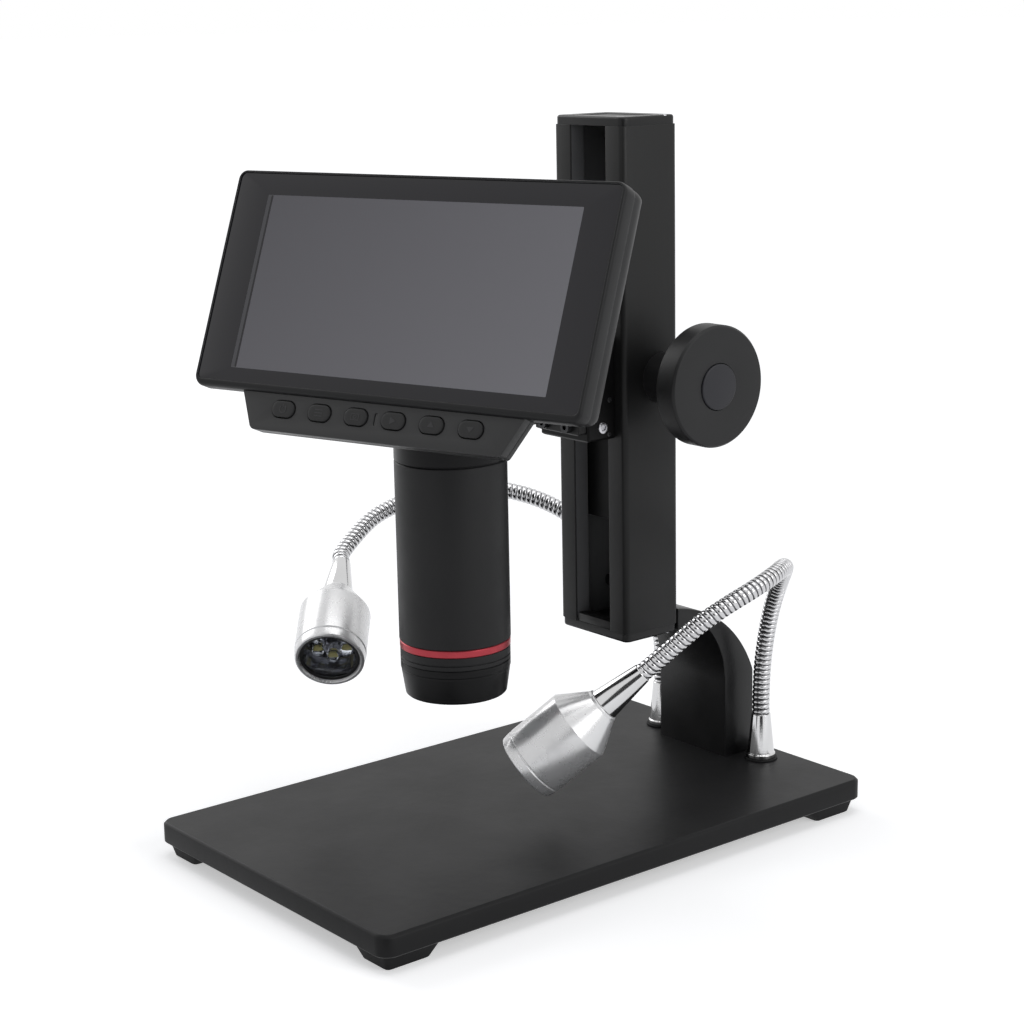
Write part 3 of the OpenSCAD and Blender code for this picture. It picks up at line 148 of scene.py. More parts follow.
# A dark cloth hangs behind the camera. Bright metal mirrors it as a dark band, as in the
# photograph, and nothing else sees it.
cloth_mesh = bpy.data.meshes.new("dark_cloth")
cloth_middle = Vector((math.sin(turn), -math.cos(turn), 0)) * 1.4
cloth_mesh.from_pydata(
    [tuple(cloth_middle + level * side + Vector((0, 0, height)))
     for side, height in ((-0.45, table_z), (0.45, table_z), (0.45, 0.8), (-0.45, 0.8))],
    [], [(0, 1, 2, 3)],
)
dark_cloth = bpy.data.objects.new("dark_cloth", cloth_mesh)
bpy.context.scene.collection.objects.link(dark_cloth)
cloth_black = bpy.data.materials.new("dark cloth")
cloth_black.use_nodes = True
cloth_black.node_tree.nodes["Principled BSDF"].inputs["Base Color"].default_value = (0.02, 0.02, 0.02, 1)
cloth_mesh.materials.append(cloth_black)
dark_cloth.visible_camera = dark_cloth.visible_diffuse = dark_cloth.visible_shadow = False
dark_cloth.visible_transmission = False

# ------------------------------------------------------------ stage plate
# A rolled aluminium plate with rounded corners and a small bevel round its top edge,
# blasted matt and anodised black. Everything else stands on it. Sizes in millimetres.
PLATE_W, PLATE_FRONT, PLATE_BACK, PLATE_T = 120, -72.3, 118.2, 6.6


def rounded(width, depth, radius, middle=(0, 0), steps=8):
    """Loop of points round a rectangle with rounded corners."""
    loop = []
    for corner, (sx, sy) in enumerate(((1, 1), (-1, 1), (-1, -1), (1, -1))):
        cx, cy = sx * (width / 2 - radius), sy * (depth / 2 - radius)
        for k in range(steps + 1):
            a = math.radians(corner * 90 + k * 90 / steps)
            loop.append((middle[0] + cx + radius * math.cos(a), middle[1] + cy + radius * math.sin(a)))
    return loop


def eased(corners, steps=5):
    """Outline or section whose corners (x, y, radius) are rounded off."""
    loop = []
    for k, (x, y, radius) in enumerate(corners):
        here = Vector((x, y))
        before, after = corners[k - 1], corners[(k + 1) % len(corners)]
        to_a = Vector(before[:2]) - here
        to_b = Vector(after[:2]) - here
        if radius <= 0 or to_a.length < 1e-6 or to_b.length < 1e-6:
            loop.append((x, y))
            continue
        half = to_a.angle(to_b) / 2
        if half > math.radians(87):
            loop.append((x, y))
            continue
        cut = min(radius / math.tan(half), 0.49 * to_a.length, 0.49 * to_b.length)
        start, end = here + to_a.normalized() * cut, here + to_b.normalized() * cut
        centre = here + (to_a.normalized() + to_b.normalized()).normalized() * cut / math.cos(half)
        a, b = start - centre, end - centre
        sweep = a.angle_signed(b)
        for s in range(steps + 1):
            t = -sweep * s / steps
            spoke = Vector((a.x * math.cos(t) - a.y * math.sin(t), a.x * math.sin(t) + a.y * math.cos(t)))
            loop.append(tuple(centre + spoke))
    return loop


def new_piece(name, shape, place=Matrix(), smooth=35):
    """A mesh piece from a bmesh in millimetres, set in place, in metres."""
    bmesh.ops.recalc_face_normals(shape, faces=shape.faces)
    mesh = bpy.data.meshes.new(name)
    shape.to_mesh(mesh)
    shape.free()
    mesh.transform(Matrix.Scale(0.001, 4) @ place)
    for face in mesh.polygons:
        face.use_smooth = True
    mesh.set_sharp_from_angle(angle=math.radians(smooth))
    piece = bpy.data.objects.new(name, mesh)
    bpy.context.scene.collection.objects.link(piece)
    return piece


def skinned(shape, rows, closed=False):
    """Faces over a row of equal loops: a tube with closed ends, or closed on itself."""
    loops = [[shape.verts.new(point) for point in row] for row in rows]
    count = len(loops[0])
    pairs = list(zip(loops, loops[1:])) + ([(loops[-1], loops[0])] if closed else [])
    for low, high in pairs:
        for k in range(count):
            n = (k + 1) % count
            shape.faces.new((low[k], low[n], high[n], high[k]))
    if not closed:
        shape.faces.new(loops[0][::-1])
        shape.faces.new(loops[-1])


def stacked(outline_at, levels, closed=False):
    """Bmesh of loops outline_at(inset) stood at heights: levels are (inset, height)."""
    shape = bmesh.new()
    skinned(shape, [[(x, y, z) for x, y in outline_at(inset)] for inset, z in levels], closed)
    return shape


def bevel_levels(low, high, edge, foot=0.0, steps=4):
    """Levels of a slab from low to high: edges rounded by edge above and foot below."""
    levels = []
    if foot:
        for k in range(steps + 1):
            a = math.radians(90 * k / steps)
            levels.append((foot * (1 - math.sin(a)), low + foot * (1 - math.cos(a))))
        levels.insert(0, (foot + 0.3, low))
    else:
        levels += [(0.3, low), (0, low)]
    for k in range(steps + 1):
        a = math.radians(90 * k / steps)
        levels.append((edge * (1 - math.cos(a)), high - edge * (1 - math.sin(a))))
    levels.append((edge + 0.3, high))
    return levels


def finish_of(name, colour, other, patch, rough, spread, metal=0.0, specular=0.5):
    """A surface whose colour and gloss drift between two values in patches of that size."""
    made = bpy.data.materials.new(name)
    made.use_nodes = True
    nodes, links = made.node_tree.nodes, made.node_tree.links
    skin = nodes["Principled BSDF"]
    skin.inputs["Metallic"].default_value = metal
    skin.inputs["Specular IOR Level"].default_value = specular
    where = nodes.new("ShaderNodeTexCoord")
    cloud = nodes.new("ShaderNodeTexNoise")
    cloud.inputs["Scale"].default_value = 1 / patch
    cloud.inputs["Detail"].default_value = 5
    cloud.inputs["Roughness"].default_value = 0.6
    links.new(where.outputs["Object"], cloud.inputs["Vector"])
    tint = nodes.new("ShaderNodeMix")
    tint.data_type = "RGBA"
    tint.inputs["A"].default_value = (*colour, 1)
    tint.inputs["B"].default_value = (*other, 1)
    links.new(cloud.outputs["Fac"], tint.inputs["Factor"])
    links.new(tint.outputs["Result"], skin.inputs["Base Color"])
    gloss = nodes.new("ShaderNodeMapRange")
    gloss.inputs["From Min"].default_value = 0.3
    gloss.inputs["From Max"].default_value = 0.7
    gloss.inputs["To Min"].default_value = rough - spread
    gloss.inputs["To Max"].default_value = rough + spread
    links.new(cloud.outputs["Fac"], gloss.inputs["Value"])
    links.new(gloss.outputs["Result"], skin.inputs["Roughness"])
    return made


def grained(made, size, depth, stretch=(1, 1, 1), frame_of=None, detail=3):
    """Adds fine relief: grains of that size in metres, stretched along x, y or z."""
    nodes, links = made.node_tree.nodes, made.node_tree.links
    skin = nodes["Principled BSDF"]
    where = nodes.new("ShaderNodeTexCoord")
    source = where.outputs["Object"]
    if frame_of is not None:
        turned = nodes.new("ShaderNodeMapping")
        turned.vector_type = "TEXTURE"
        turned.inputs["Location"].default_value = frame_of.to_translation() * 0.001
        turned.inputs["Rotation"].default_value = frame_of.to_euler()
        links.new(source, turned.inputs["Vector"])
        source = turned.outputs["Vector"]
    pull = nodes.new("ShaderNodeMapping")
    pull.inputs["Scale"].default_value = [1 / (size * s) for s in stretch]
    links.new(source, pull.inputs["Vector"])
    grain = nodes.new("ShaderNodeTexNoise")
    grain.inputs["Scale"].default_value = 1
    grain.inputs["Detail"].default_value = detail
    links.new(pull.outputs["Vector"], grain.inputs["Vector"])
    bump = nodes.new("ShaderNodeBump")
    bump.inputs["Strength"].default_value = 1
    bump.inputs["Distance"].default_value = depth
    links.new(grain.outputs["Fac"], bump.inputs["Height"])
    if skin.inputs["Normal"].is_linked:
        links.new(skin.inputs["Normal"].links[0].from_socket, bump.inputs["Normal"])
    links.new(bump.outputs["Normal"], skin.inputs["Normal"])
    return made


def edge_wear_and_painted_highlight(made, radius, tone, amount):
    """Lightens a finish along its edges, in broken patches: wear from handling and a painted edge highlight."""
    nodes, links = made.node_tree.nodes, made.node_tree.links
    skin = nodes["Principled BSDF"]
    soft = nodes.new("ShaderNodeBevel")
    soft.samples = 4
    soft.inputs["Radius"].default_value = radius
    plain = nodes.new("ShaderNodeNewGeometry")
    agree = nodes.new("ShaderNodeVectorMath")
    agree.operation = "DOT_PRODUCT"
    links.new(soft.outputs["Normal"], agree.inputs[0])
    links.new(plain.outputs["Normal"], agree.inputs[1])
    edge = nodes.new("ShaderNodeMapRange")
    edge.inputs["From Min"].default_value = 0.995
    edge.inputs["From Max"].default_value = 0.88
    edge.inputs["To Max"].default_value = amount
    links.new(agree.outputs["Value"], edge.inputs["Value"])
    where = nodes.new("ShaderNodeTexCoord")
    broken = nodes.new("ShaderNodeTexNoise")
    broken.inputs["Scale"].default_value = 900
    broken.inputs["Detail"].default_value = 4
    links.new(where.outputs["Object"], broken.inputs["Vector"])
    share = nodes.new("ShaderNodeMath")
    share.operation = "MULTIPLY"
    links.new(edge.outputs["Result"], share.inputs[0])
    links.new(broken.outputs["Fac"], share.inputs[1])
    rubbed_and_highlit = nodes.new("ShaderNodeMix")
    rubbed_and_highlit.data_type = "RGBA"
    links.new(share.outputs[0], rubbed_and_highlit.inputs["Factor"])
    links.new(skin.inputs["Base Color"].links[0].from_socket, rubbed_and_highlit.inputs["A"])
    rubbed_and_highlit.inputs["B"].default_value = (tone, tone, tone, 1)
    links.new(rubbed_and_highlit.outputs["Result"], skin.inputs["Base Color"])
    return made


plate_black = finish_of(
    "black blasted anodising", (0.008, 0.008, 0.0085), (0.012, 0.012, 0.0125), 0.03, 0.42, 0.04,
    specular=0.15,
)
grained(plate_black, 0.00035, 0.00002)
grained(plate_black, 0.004, 0.00004, detail=2)
# Lighter edges: wear and a painted edge highlight.
edge_wear_and_painted_highlight(plate_black, 0.0004, 0.16, 0.5)

plate_middle = (0, (PLATE_FRONT + PLATE_BACK) / 2)
stage_plate = new_piece(
    "stage_plate",
    stacked(
        lambda inset: rounded(
            PLATE_W - 2 * inset, PLATE_BACK - PLATE_FRONT - 2 * inset, 4.5 - inset, plate_middle
        ),
        [(0.8, -PLATE_T), (0.4, -PLATE_T), (0, 0.4 - PLATE_T), (0, -0.85), (0.08, -0.72),
         (0.72, -0.08), (0.85, 0), (1.2, 0)],
    ),
)
stage_plate.data.materials.append(plate_black)
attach(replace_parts(stage_plate, "base_plate"), "stand")

# ------------------------------------------------------------ feet
# Four moulded rubber feet under the plate's corners, steeper outside than inside, each
# held by a countersunk screw from below.
FOOT_X, FOOT_Y, FOOT_LOW = 49.5, 83.25, -11.5
rubber = finish_of(
    "moulded black rubber", (0.006, 0.006, 0.0065), (0.009, 0.009, 0.0095), 0.01, 0.65, 0.06,
    specular=0.2,
)
grained(rubber, 0.0005, 0.00004)
feet_shape = bmesh.new()
for sx in (-1, 1):
    for sy in (-1, 1):
        rows = []
        for drop, grow in ((0, -0.5), (0, 0), (0.94, 0), (1, -0.35), (1, -0.9)):
            wide = 17 - drop * (3.8 + 3.8 / 3) + 2 * grow
            long = 20 - drop * (3.8 + 3.8 / 3) + 2 * grow
            slide = drop * (3.8 - 3.8 / 3) / 2
            z = -PLATE_T + drop * (FOOT_LOW + PLATE_T)
            rows.append([
                (sx * (FOOT_X + slide + x), plate_middle[1] + sy * (FOOT_Y + slide + y), z)
                for x, y in rounded(wide, long, 1.6 + min(grow, 0), steps=4)
            ])
        skinned(feet_shape, rows)
feet = new_piece("feet", feet_shape)
feet.data.materials.append(rubber)
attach(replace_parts(feet, "base_feet"), "stand")


def prism(outline, low, high, edge=0.0, steps=3, into=None):
    """Outline stood up between two heights, with both rims rounded by edge."""
    shape = bmesh.new() if into is None else into
    foot = [shape.verts.new((x, y, low)) for x, y in outline]
    head = [shape.verts.new((x, y, high)) for x, y in outline]
    count = len(foot)
    faces = [shape.faces.new(foot[::-1]), shape.faces.new(head)]
    for k in range(count):
        n = (k + 1) % count
        faces.append(shape.faces.new((foot[k], foot[n], head[n], head[k])))
    bmesh.ops.recalc_face_normals(shape, faces=faces)
    if edge:
        rims = [e for face in faces[:2] for e in face.edges]
        bmesh.ops.bevel(
            shape, geom=rims, offset=edge, segments=steps, profile=0.5, affect="EDGES",
            clamp_overlap=True,
        )
    return shape


def dressed(finish, *nodes):
    """Gives carried-over CAD solids their finish."""
    for node in nodes:
        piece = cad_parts[node]
        piece.data.materials.clear()
        piece.data.materials.append(finish)


steel = finish_of(
    "bright zinc plated steel", (0.62, 0.62, 0.64), (0.5, 0.5, 0.53), 0.004, 0.28, 0.08, metal=1.0
)
grained(steel, 0.0003, 0.000008)
dressed(steel, "foot_screws", "arm_base_screws")

# ------------------------------------------------------------ support arm
# A bent bar of cast aluminium, machined all over and painted satin black. Its leg is
# screwed to the plate from below, and its upper end carries the column.
arm_black = finish_of(
    "satin black paint on cast aluminium", (0.006, 0.006, 0.0065), (0.01, 0.01, 0.0105), 0.012,
    0.34, 0.06, specular=0.3,
)
grained(arm_black, 0.0006, 0.000025)
# Lighter edges: wear and a painted edge highlight.
edge_wear_and_painted_highlight(arm_black, 0.0004, 0.12, 0.4)
arm_side = [(78.02, 55.0, 0), (78.02, 47.72, 0), (89.0, 47.72, 0.5)]
for k in range(1, 20):
    a = math.radians(48 - 48 * k / 20)
    arm_side.append((70.5 + 28.6 * math.cos(a), 26 + 28.6 * math.sin(a), 0))
arm_side += [(99.1, 26, 0), (99.1, 0.02, 0), (112.1, 0.02, 0), (112.1, 27.89, 3)]
for k in range(1, 33):
    a = math.radians(20.3 + (82.7 - 20.3) * k / 33)
    arm_side.append((72.7 + 42 * math.cos(a), 13.34 + 42 * math.sin(a), 0))
arm_across = Matrix(((0, 0, 1, 0), (1, 0, 0, 0), (0, 1, 0, 0), (0, 0, 0, 1)))
support_arm = new_piece(
    "support_arm_casting", prism(eased(arm_side), -15.8, 15.8, 0.7), arm_across, smooth=30
)
support_arm.data.materials.append(arm_black)
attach(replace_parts(support_arm, "support_arm"), "stand")

# ------------------------------------------------------------ column
# A drawn aluminium channel with a slot down its front, in which the carriage runs. It
# is anodised black, with the fine upright lines of the drawing die on its faces.
COLUMN_FRONT, COLUMN_BACK, COLUMN_LOW, COLUMN_TOP = 55.5, 78.0, 50.5, 208.7
column_black = finish_of(
    "black anodised extrusion", (0.012, 0.012, 0.012), (0.0165, 0.0165, 0.0165), 0.025, 0.42, 0.05,
    specular=0.21,
)
grained(column_black, 0.00025, 0.000022, stretch=(1, 1, 240))
grained(column_black, 0.0003, 0.00001)
# Lighter edges: wear and a painted edge highlight.
edge_wear_and_painted_highlight(column_black, 0.0003, 0.14, 0.4)
channel = eased([
    (8, COLUMN_FRONT, 0.4), (16, COLUMN_FRONT, 1.8), (16, COLUMN_BACK, 1.8),
    (-16, COLUMN_BACK, 1.8), (-16, COLUMN_FRONT, 1.8), (-8, COLUMN_FRONT, 0.4),
    (-8, 61, 0.2), (-12.5, 61, 0.2), (-12.5, 75.9, 0.6), (12.5, 75.9, 0.6),
    (12.5, 61, 0.2), (8, 61, 0.2),
], steps=6)
column = new_piece("column_channel", prism(channel, COLUMN_LOW, COLUMN_TOP, 0.12, steps=2))
column.data.materials.append(column_black)
# The inside faces of the channel get a grey about ten times lighter than the outside: painted light in the shaded
# slot.
channel_painted_light = finish_of(
    "thinly dyed inside of the channel", (0.15, 0.15, 0.152), (0.2, 0.2, 0.202), 0.02, 0.4, 0.05, specular=0.3
)
grained(channel_painted_light, 0.00025, 0.000022, stretch=(1, 1, 240))
column.data.materials.append(channel_painted_light)
# Faces inside the slot take the second finish, which carries that painted light.
for face in column.data.polygons:
    x, y = face.center.x * 1000, face.center.y * 1000
    if abs(x) < 12.6 and 56.0 < y < 76 and abs(face.normal.z) < 0.5:
        face.material_index = 1
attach(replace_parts(column, "column"), "stand")

# ------------------------------------------------------------ column caps
# Two moulded caps close the channel's ends, each held by four small screws. The upper
# one has a shallow dish in its middle, the lower one a tongue that closes the slot.
cap_black = finish_of(
    "satin black moulding", (0.01, 0.01, 0.0102), (0.014, 0.014, 0.0142), 0.02, 0.34, 0.05,
    specular=0.24,
)
grained(cap_black, 0.003, 0.00002, detail=1)
cap_middle = (0, (COLUMN_FRONT + COLUMN_BACK) / 2)


def cap_outline(inset):
    return rounded(31.6 - 2 * inset, 22.1 - 2 * inset, 2.2 - min(inset, 1.4), cap_middle, steps=6)


cap_top = stacked(
    cap_outline,
    bevel_levels(COLUMN_TOP, COLUMN_TOP + 2.8, 0.8)
    + [(4.6, COLUMN_TOP + 2.8), (4.9, COLUMN_TOP + 2.72), (5.2, COLUMN_TOP + 2.45), (5.6, COLUMN_TOP + 2.4)],
)
cap_bottom = stacked(cap_outline, bevel_levels(COLUMN_LOW - 2.8, COLUMN_LOW, 0.1, foot=0.8))
tongue = rounded(15.9, 5.1, 0.3, (0, COLUMN_FRONT + 2.95), steps=2)
prism(tongue, COLUMN_LOW - 0.5, COLUMN_LOW + 2.7, 0.15, steps=2, into=cap_bottom)
top_cap = new_piece("column_cap_upper", cap_top)
top_cap.data.materials.append(cap_black)
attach(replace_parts(top_cap, "column_top_cap"), "stand")
bottom_cap = new_piece("column_cap_lower", cap_bottom)
bottom_cap.data.materials.append(cap_black)
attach(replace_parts(bottom_cap, "column_bottom_cap"), "stand")


def turned(section, steps=96, closed=True, into=None):
    """A section (radius, height) spun about the z axis; closed joins its last point to its first."""
    shape = bmesh.new() if into is None else into
    angles = [2 * math.pi * k / steps for k in range(steps)]
    rings = []
    for radius, z in section:
        if radius < 1e-5:
            rings.append([shape.verts.new((0, 0, z))] * steps)
        else:
            rings.append([shape.verts.new((radius * math.cos(a), radius * math.sin(a), z)) for a in angles])
    pairs = list(zip(rings, rings[1:])) + ([(rings[-1], rings[0])] if closed else [])
    for low, high in pairs:
        for k in range(steps):
            n = (k + 1) % steps
            corners = list(dict.fromkeys((low[k], low[n], high[n], high[k])))
            if len(corners) > 2:
                shape.faces.new(corners)
    return shape


# ------------------------------------------------------------ small screws
# Socket head screws hold the caps, the carriage and the rear cover. All are the same
# form: a low round head with a six-sided socket, bright or blackened.
screw_black = finish_of(
    "blackened steel", (0.03, 0.03, 0.032), (0.05, 0.05, 0.052), 0.002, 0.34, 0.08, metal=0.7
)
grained(screw_black, 0.0003, 0.00001)
dressed(screw_black, "column_arm_screws")
head_shape = bmesh.new()
rows = []
around = [2 * math.pi * k / 24 for k in range(24)]
for radius, z in ((0.9, -0.25), (1, -0.2), (1, 0.1), (0.93, 0.24), (0.8, 0.3)):
    rows.append([(radius * math.cos(a), radius * math.sin(a), z) for a in around])
for wide, z in ((0.5, 0.3), (0.47, 0.26), (0.44, 0.0)):
    rows.append([
        tuple(c * wide / math.cos((a % (math.pi / 3)) - math.pi / 6) for c in (math.cos(a), math.sin(a))) + (z,)
        for a in around
    ])
skinned(head_shape, rows)
screw_head = new_piece("screw_head", head_shape)


def tree_of(name, inputs):
    """A node tree with one geometry in and out, and named inputs."""
    tree = bpy.data.node_groups.new(name, "GeometryNodeTree")
    tree.interface.new_socket("Geometry", in_out="INPUT", socket_type="NodeSocketGeometry")
    for label, kind in inputs:
        tree.interface.new_socket(label, in_out="INPUT", socket_type=kind)
    tree.interface.new_socket("Geometry", in_out="OUTPUT", socket_type="NodeSocketGeometry")
    return tree, tree.nodes.new("NodeGroupInput"), tree.nodes.new("NodeGroupOutput")


def made_by(tree, piece, **values):
    """Runs the tree on a piece with named values, and keeps the result as a plain mesh."""
    run = piece.modifiers.new(tree.name, "NODES")
    run.node_group = tree
    for socket in tree.interface.items_tree:
        key = socket.name.lower().replace(" ", "_")
        if socket.in_out == "INPUT" and key in values:
            run[socket.identifier] = values[key]
    piece.update_tag()
    graph = bpy.context.evaluated_depsgraph_get()
    graph.update()
    mesh = bpy.data.meshes.new_from_object(piece.evaluated_get(graph), depsgraph=graph)
    label = piece.name
    bpy.data.objects.remove(piece)
    done = bpy.data.objects.new(label, mesh)
    mesh.name = label
    bpy.context.scene.collection.objects.link(done)
    return done


head_tree, head_in, head_out = tree_of(
    "screw heads",
    (("Head", "NodeSocketObject"), ("Turn", "NodeSocketVector"), ("Size", "NodeSocketFloat"),
     ("Finish", "NodeSocketMaterial")),
)
head_from = head_tree.nodes.new("GeometryNodeObjectInfo")
head_on = head_tree.nodes.new("GeometryNodeInstanceOnPoints")
head_real = head_tree.nodes.new("GeometryNodeRealizeInstances")
head_paint = head_tree.nodes.new("GeometryNodeSetMaterial")
link = head_tree.links.new
link(head_in.outputs["Head"], head_from.inputs["Object"])
link(head_in.outputs["Geometry"], head_on.inputs["Points"])
link(head_from.outputs["Geometry"], head_on.inputs["Instance"])
link(head_in.outputs["Turn"], head_on.inputs["Rotation"])
link(head_in.outputs["Size"], head_on.inputs["Scale"])
link(head_on.outputs["Instances"], head_real.inputs["Geometry"])
link(head_real.outputs["Geometry"], head_paint.inputs["Geometry"])
link(head_in.outputs["Finish"], head_paint.inputs["Material"])
link(head_paint.outputs["Geometry"], head_out.inputs["Geometry"])


def screws(name, spots, way, radius, finish, body, place=Matrix()):
    """Screw heads of that radius at spots in millimetres, facing along way."""
    points = bpy.data.meshes.new(name)
    points.from_pydata([tuple(place @ Vector(p) * 0.001) for p in spots], [], [])
    holder = bpy.data.objects.new(name, points)
    bpy.context.scene.collection.objects.link(holder)
    facing = (place.to_3x3() @ Vector(way)).to_track_quat("Z", "Y").to_euler()
    heads = made_by(head_tree, holder, head=screw_head, turn=tuple(facing), size=radius, finish=finish)
    for face in heads.data.polygons:
        face.use_smooth = True
    heads.data.set_sharp_from_angle(angle=math.radians(35))
    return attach(heads, body)


cap_spots = [(sx * x, y) for sx in (-1, 1) for x, y in ((12, 58.25), (14.25, 73.5))]
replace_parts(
    screws("cap_screws_upper", [(x, y, 211.08) for x, y in cap_spots], (0, 0, 1), 1.4, steel, "stand"),
    "cap_screws",
)
screws("cap_screws_lower", [(x, y, 48.1) for x, y in cap_spots], (0, 0, -1), 1.4, steel, "stand")

# ------------------------------------------------------------ carriage
# The sliding block that carries the head: a milled aluminium block in front of the
# column, joined through the slot to the slide and rack inside it.
slide_black = finish_of(
    "greased black slide", (0.004, 0.004, 0.0042), (0.007, 0.007, 0.0072), 0.01, 0.42, 0.06, specular=0.12
)
grained(slide_black, 0.0004, 0.00001, stretch=(1, 1, 30))
dressed(slide_black, "carriage_slider")
dressed(column_black, "head_arm")
rack_steel = finish_of(
    "oiled gear steel", (0.32, 0.32, 0.33), (0.22, 0.22, 0.23), 0.004, 0.32, 0.06, metal=1.0
)
grained(rack_steel, 0.0002, 0.00001, stretch=(20, 1, 1))
dressed(rack_steel, "rack", "pinion", "focus_shaft")
dressed(screw_black, "arm_screws")
dressed(steel, "clamp_screw")
carriage_heads = [
    ((11.5, 50.4, 117.2), 1.9, steel), ((11.5, 53.3, 125.6), 0.8, screw_black), ((11.5, 53.0, 114.9), 0.8, screw_black)
]
for k, (spot, radius, finish) in enumerate(carriage_heads):
    head = screws(f"carriage_screw_{k + 1}", [spot], (1, 0, 0), radius, finish, "carriage")
    if k == 0:
        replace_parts(head, "carriage_side_screws")

# ------------------------------------------------------------ focus drive
# A cross shaft through two bushes, with a knob on each end. The knobs are turned from
# aluminium and blasted, with an inset disc that hides the screw.
SHAFT_Y, SHAFT_Z, KNOB_FACE = 71.2, 131, 41.2
knob_black = finish_of(
    "turned and blasted black aluminium", (0.013, 0.013, 0.0135), (0.018, 0.018, 0.0185), 0.012,
    0.46, 0.05, specular=0.26,
)
across = Matrix.Translation((0, SHAFT_Y, SHAFT_Z)) @ Matrix.Rotation(math.radians(90), 4, "Y")
grained(knob_black, 0.00028, 0.000018)
grained(knob_black, 0.00016, 0.000008, stretch=(30, 30, 1), frame_of=across)
# Lighter edges: wear and a painted edge highlight.
edge_wear_and_painted_highlight(knob_black, 0.0003, 0.16, 0.45)
disc_grey = finish_of(
    "dark grey knob disc", (0.02, 0.02, 0.024), (0.025, 0.025, 0.03), 0.006, 0.42, 0.05,
    specular=0.28,
)
grained(disc_grey, 0.0002, 0.000012)
knob_section = eased([
    (2.4, 27.5, 0), (7, 27.5, 0.3), (7, 32.8, 0.6), (17.9, 32.8, 0.6), (18.75, 33.9, 0.6),
    (18.75, KNOB_FACE - 0.7, 0.5), (18.1, KNOB_FACE, 0.5), (7.25, KNOB_FACE, 0.15),
    (7.2, KNOB_FACE - 1.2, 0), (2.4, KNOB_FACE - 1.2, 0),
])
for side, label in ((90, "right"), (-90, "left")):
    place = Matrix.Translation((0, SHAFT_Y, SHAFT_Z)) @ Matrix.Rotation(math.radians(side), 4, "Y")
    knob = new_piece(f"focus_knob_{label}", turned(knob_section, 128), place)
    knob.data.materials.append(knob_black)
    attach(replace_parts(knob, f"knob_{label}"), "focus")
    disc = new_piece(
        f"knob_disc_{label}",
        turned(eased([(0, KNOB_FACE - 1.35, 0), (7.08, KNOB_FACE - 1.35, 0),
                      (7.08, KNOB_FACE + 0.5, 0.45), (0, KNOB_FACE + 0.55, 0)]), 96, closed=False),
        place,
    )
    disc.data.materials.append(disc_grey)
    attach(disc, "focus")
    bush = new_piece(
        f"shaft_bush_{label}",
        turned(eased([(2.45, 16.0, 0), (8, 16.0, 0), (8, 27, 0.8), (2.45, 27, 0.2)]), 96),
        place,
    )
    bush.data.materials.append(knob_black)
    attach(bush, "stand")
    if label == "right":
        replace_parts(disc, "knob_caps")
        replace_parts(bush, "shaft_bushes")

# ------------------------------------------------------------ lens tube
# Turned aluminium rings screwed into one another: a collar, the long barrel, a red
# anodised ring, a grooved ring and the tapered nose with the lens in it.
tube_black = finish_of(
    "fine matt black tube finish", (0.008, 0.008, 0.0085), (0.012, 0.012, 0.0128), 0.01, 0.5, 0.05,
    specular=0.26,
)
grained(tube_black, 0.00022, 0.000016)
collar_black = finish_of(
    "satin black collar", (0.004, 0.004, 0.0045), (0.006, 0.006, 0.0065), 0.01, 0.38, 0.05, specular=0.16
)
grained(collar_black, 0.00015, 0.000006, stretch=(40, 40, 1))
accent_red = finish_of(
    "red anodised aluminium", (0.42, 0.045, 0.06), (0.34, 0.034, 0.046), 0.004, 0.34, 0.04, metal=0.7
)
grained(accent_red, 0.0001, 0.000004, stretch=(60, 60, 1))
yaw = Matrix.Rotation(math.radians(16.8), 4, "Z")
tube_parts = (
    ("tube_collar_ring", "tube_collar", collar_black,
     [(12, 107.6, 0), (13.9, 107.6, 0), (13.9, 113.2, 0), (16.5, 113.2, 0), (16.5, 113.55, 0.1),
      (17, 113.65, 0.3), (17, 146, 0.4), (12, 146, 0)]),
    ("lens_barrel", "barrel", tube_black,
     [(14, 58, 0), (16.7, 58, 0.1), (17, 58.3, 0.2), (17, 113.0, 0.25), (16.6, 113.3, 0.1), (14, 113.3, 0)]),
    ("red_ring", "accent_ring", accent_red,
     [(14, 55.6, 0), (16.6, 55.6, 0.1), (16.9, 55.9, 0.2), (16.9, 57.7, 0.2), (16.6, 58, 0.1), (14, 58, 0)]),
    ("grooved_ring", "grip_ring", tube_black,
     [(11, 51.6, 0), (16.8, 51.6, 0.2), (16.8, 52.9, 0.1), (16.4, 53.1, 0.1), (16.8, 53.3, 0.1),
      (16.8, 55.6, 0.15), (11, 55.6, 0)]),
    ("tapered_nose", "lens_nose", collar_black,
     [(7.7, 43.2, 0.1), (13.9, 40.8, 0.2), (15.0, 40.8, 0.3), (15.5, 41.3, 0.3), (16.6, 48.6, 0.2),
      (16.6, 49.2, 0.1), (16.8, 49.4, 0.15), (16.8, 51.5, 0.2), (8.55, 51.6, 0), (8.55, 44.4, 0),
      (7.7, 44.4, 0)]),
)
for name, node, finish, section in tube_parts:
    part = new_piece(name, turned(eased(section, steps=4), 144), yaw)
    part.data.materials.append(finish)
    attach(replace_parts(part, node), "head")
coated = finish_of(
    "coated lens glass", (0.01, 0.014, 0.03), (0.016, 0.012, 0.028), 0.01, 0.05, 0.01, specular=0.8
)
coated.node_tree.nodes["Principled BSDF"].inputs["Coat Weight"].default_value = 1
coated.node_tree.nodes["Principled BSDF"].inputs["Coat Tint"].default_value = (0.7, 0.9, 0.8, 1)
lens_section = [(0, 44.4)] + [(8.5 * k / 6, 44.4) for k in range(1, 7)] + [(8.5, 46.8)]
lens_section += [(8.5 * math.cos(math.radians(15 * k)), 46.8 + math.sin(math.radians(15 * k))) for k in range(1, 6)]
lens_section += [(0, 47.8)]
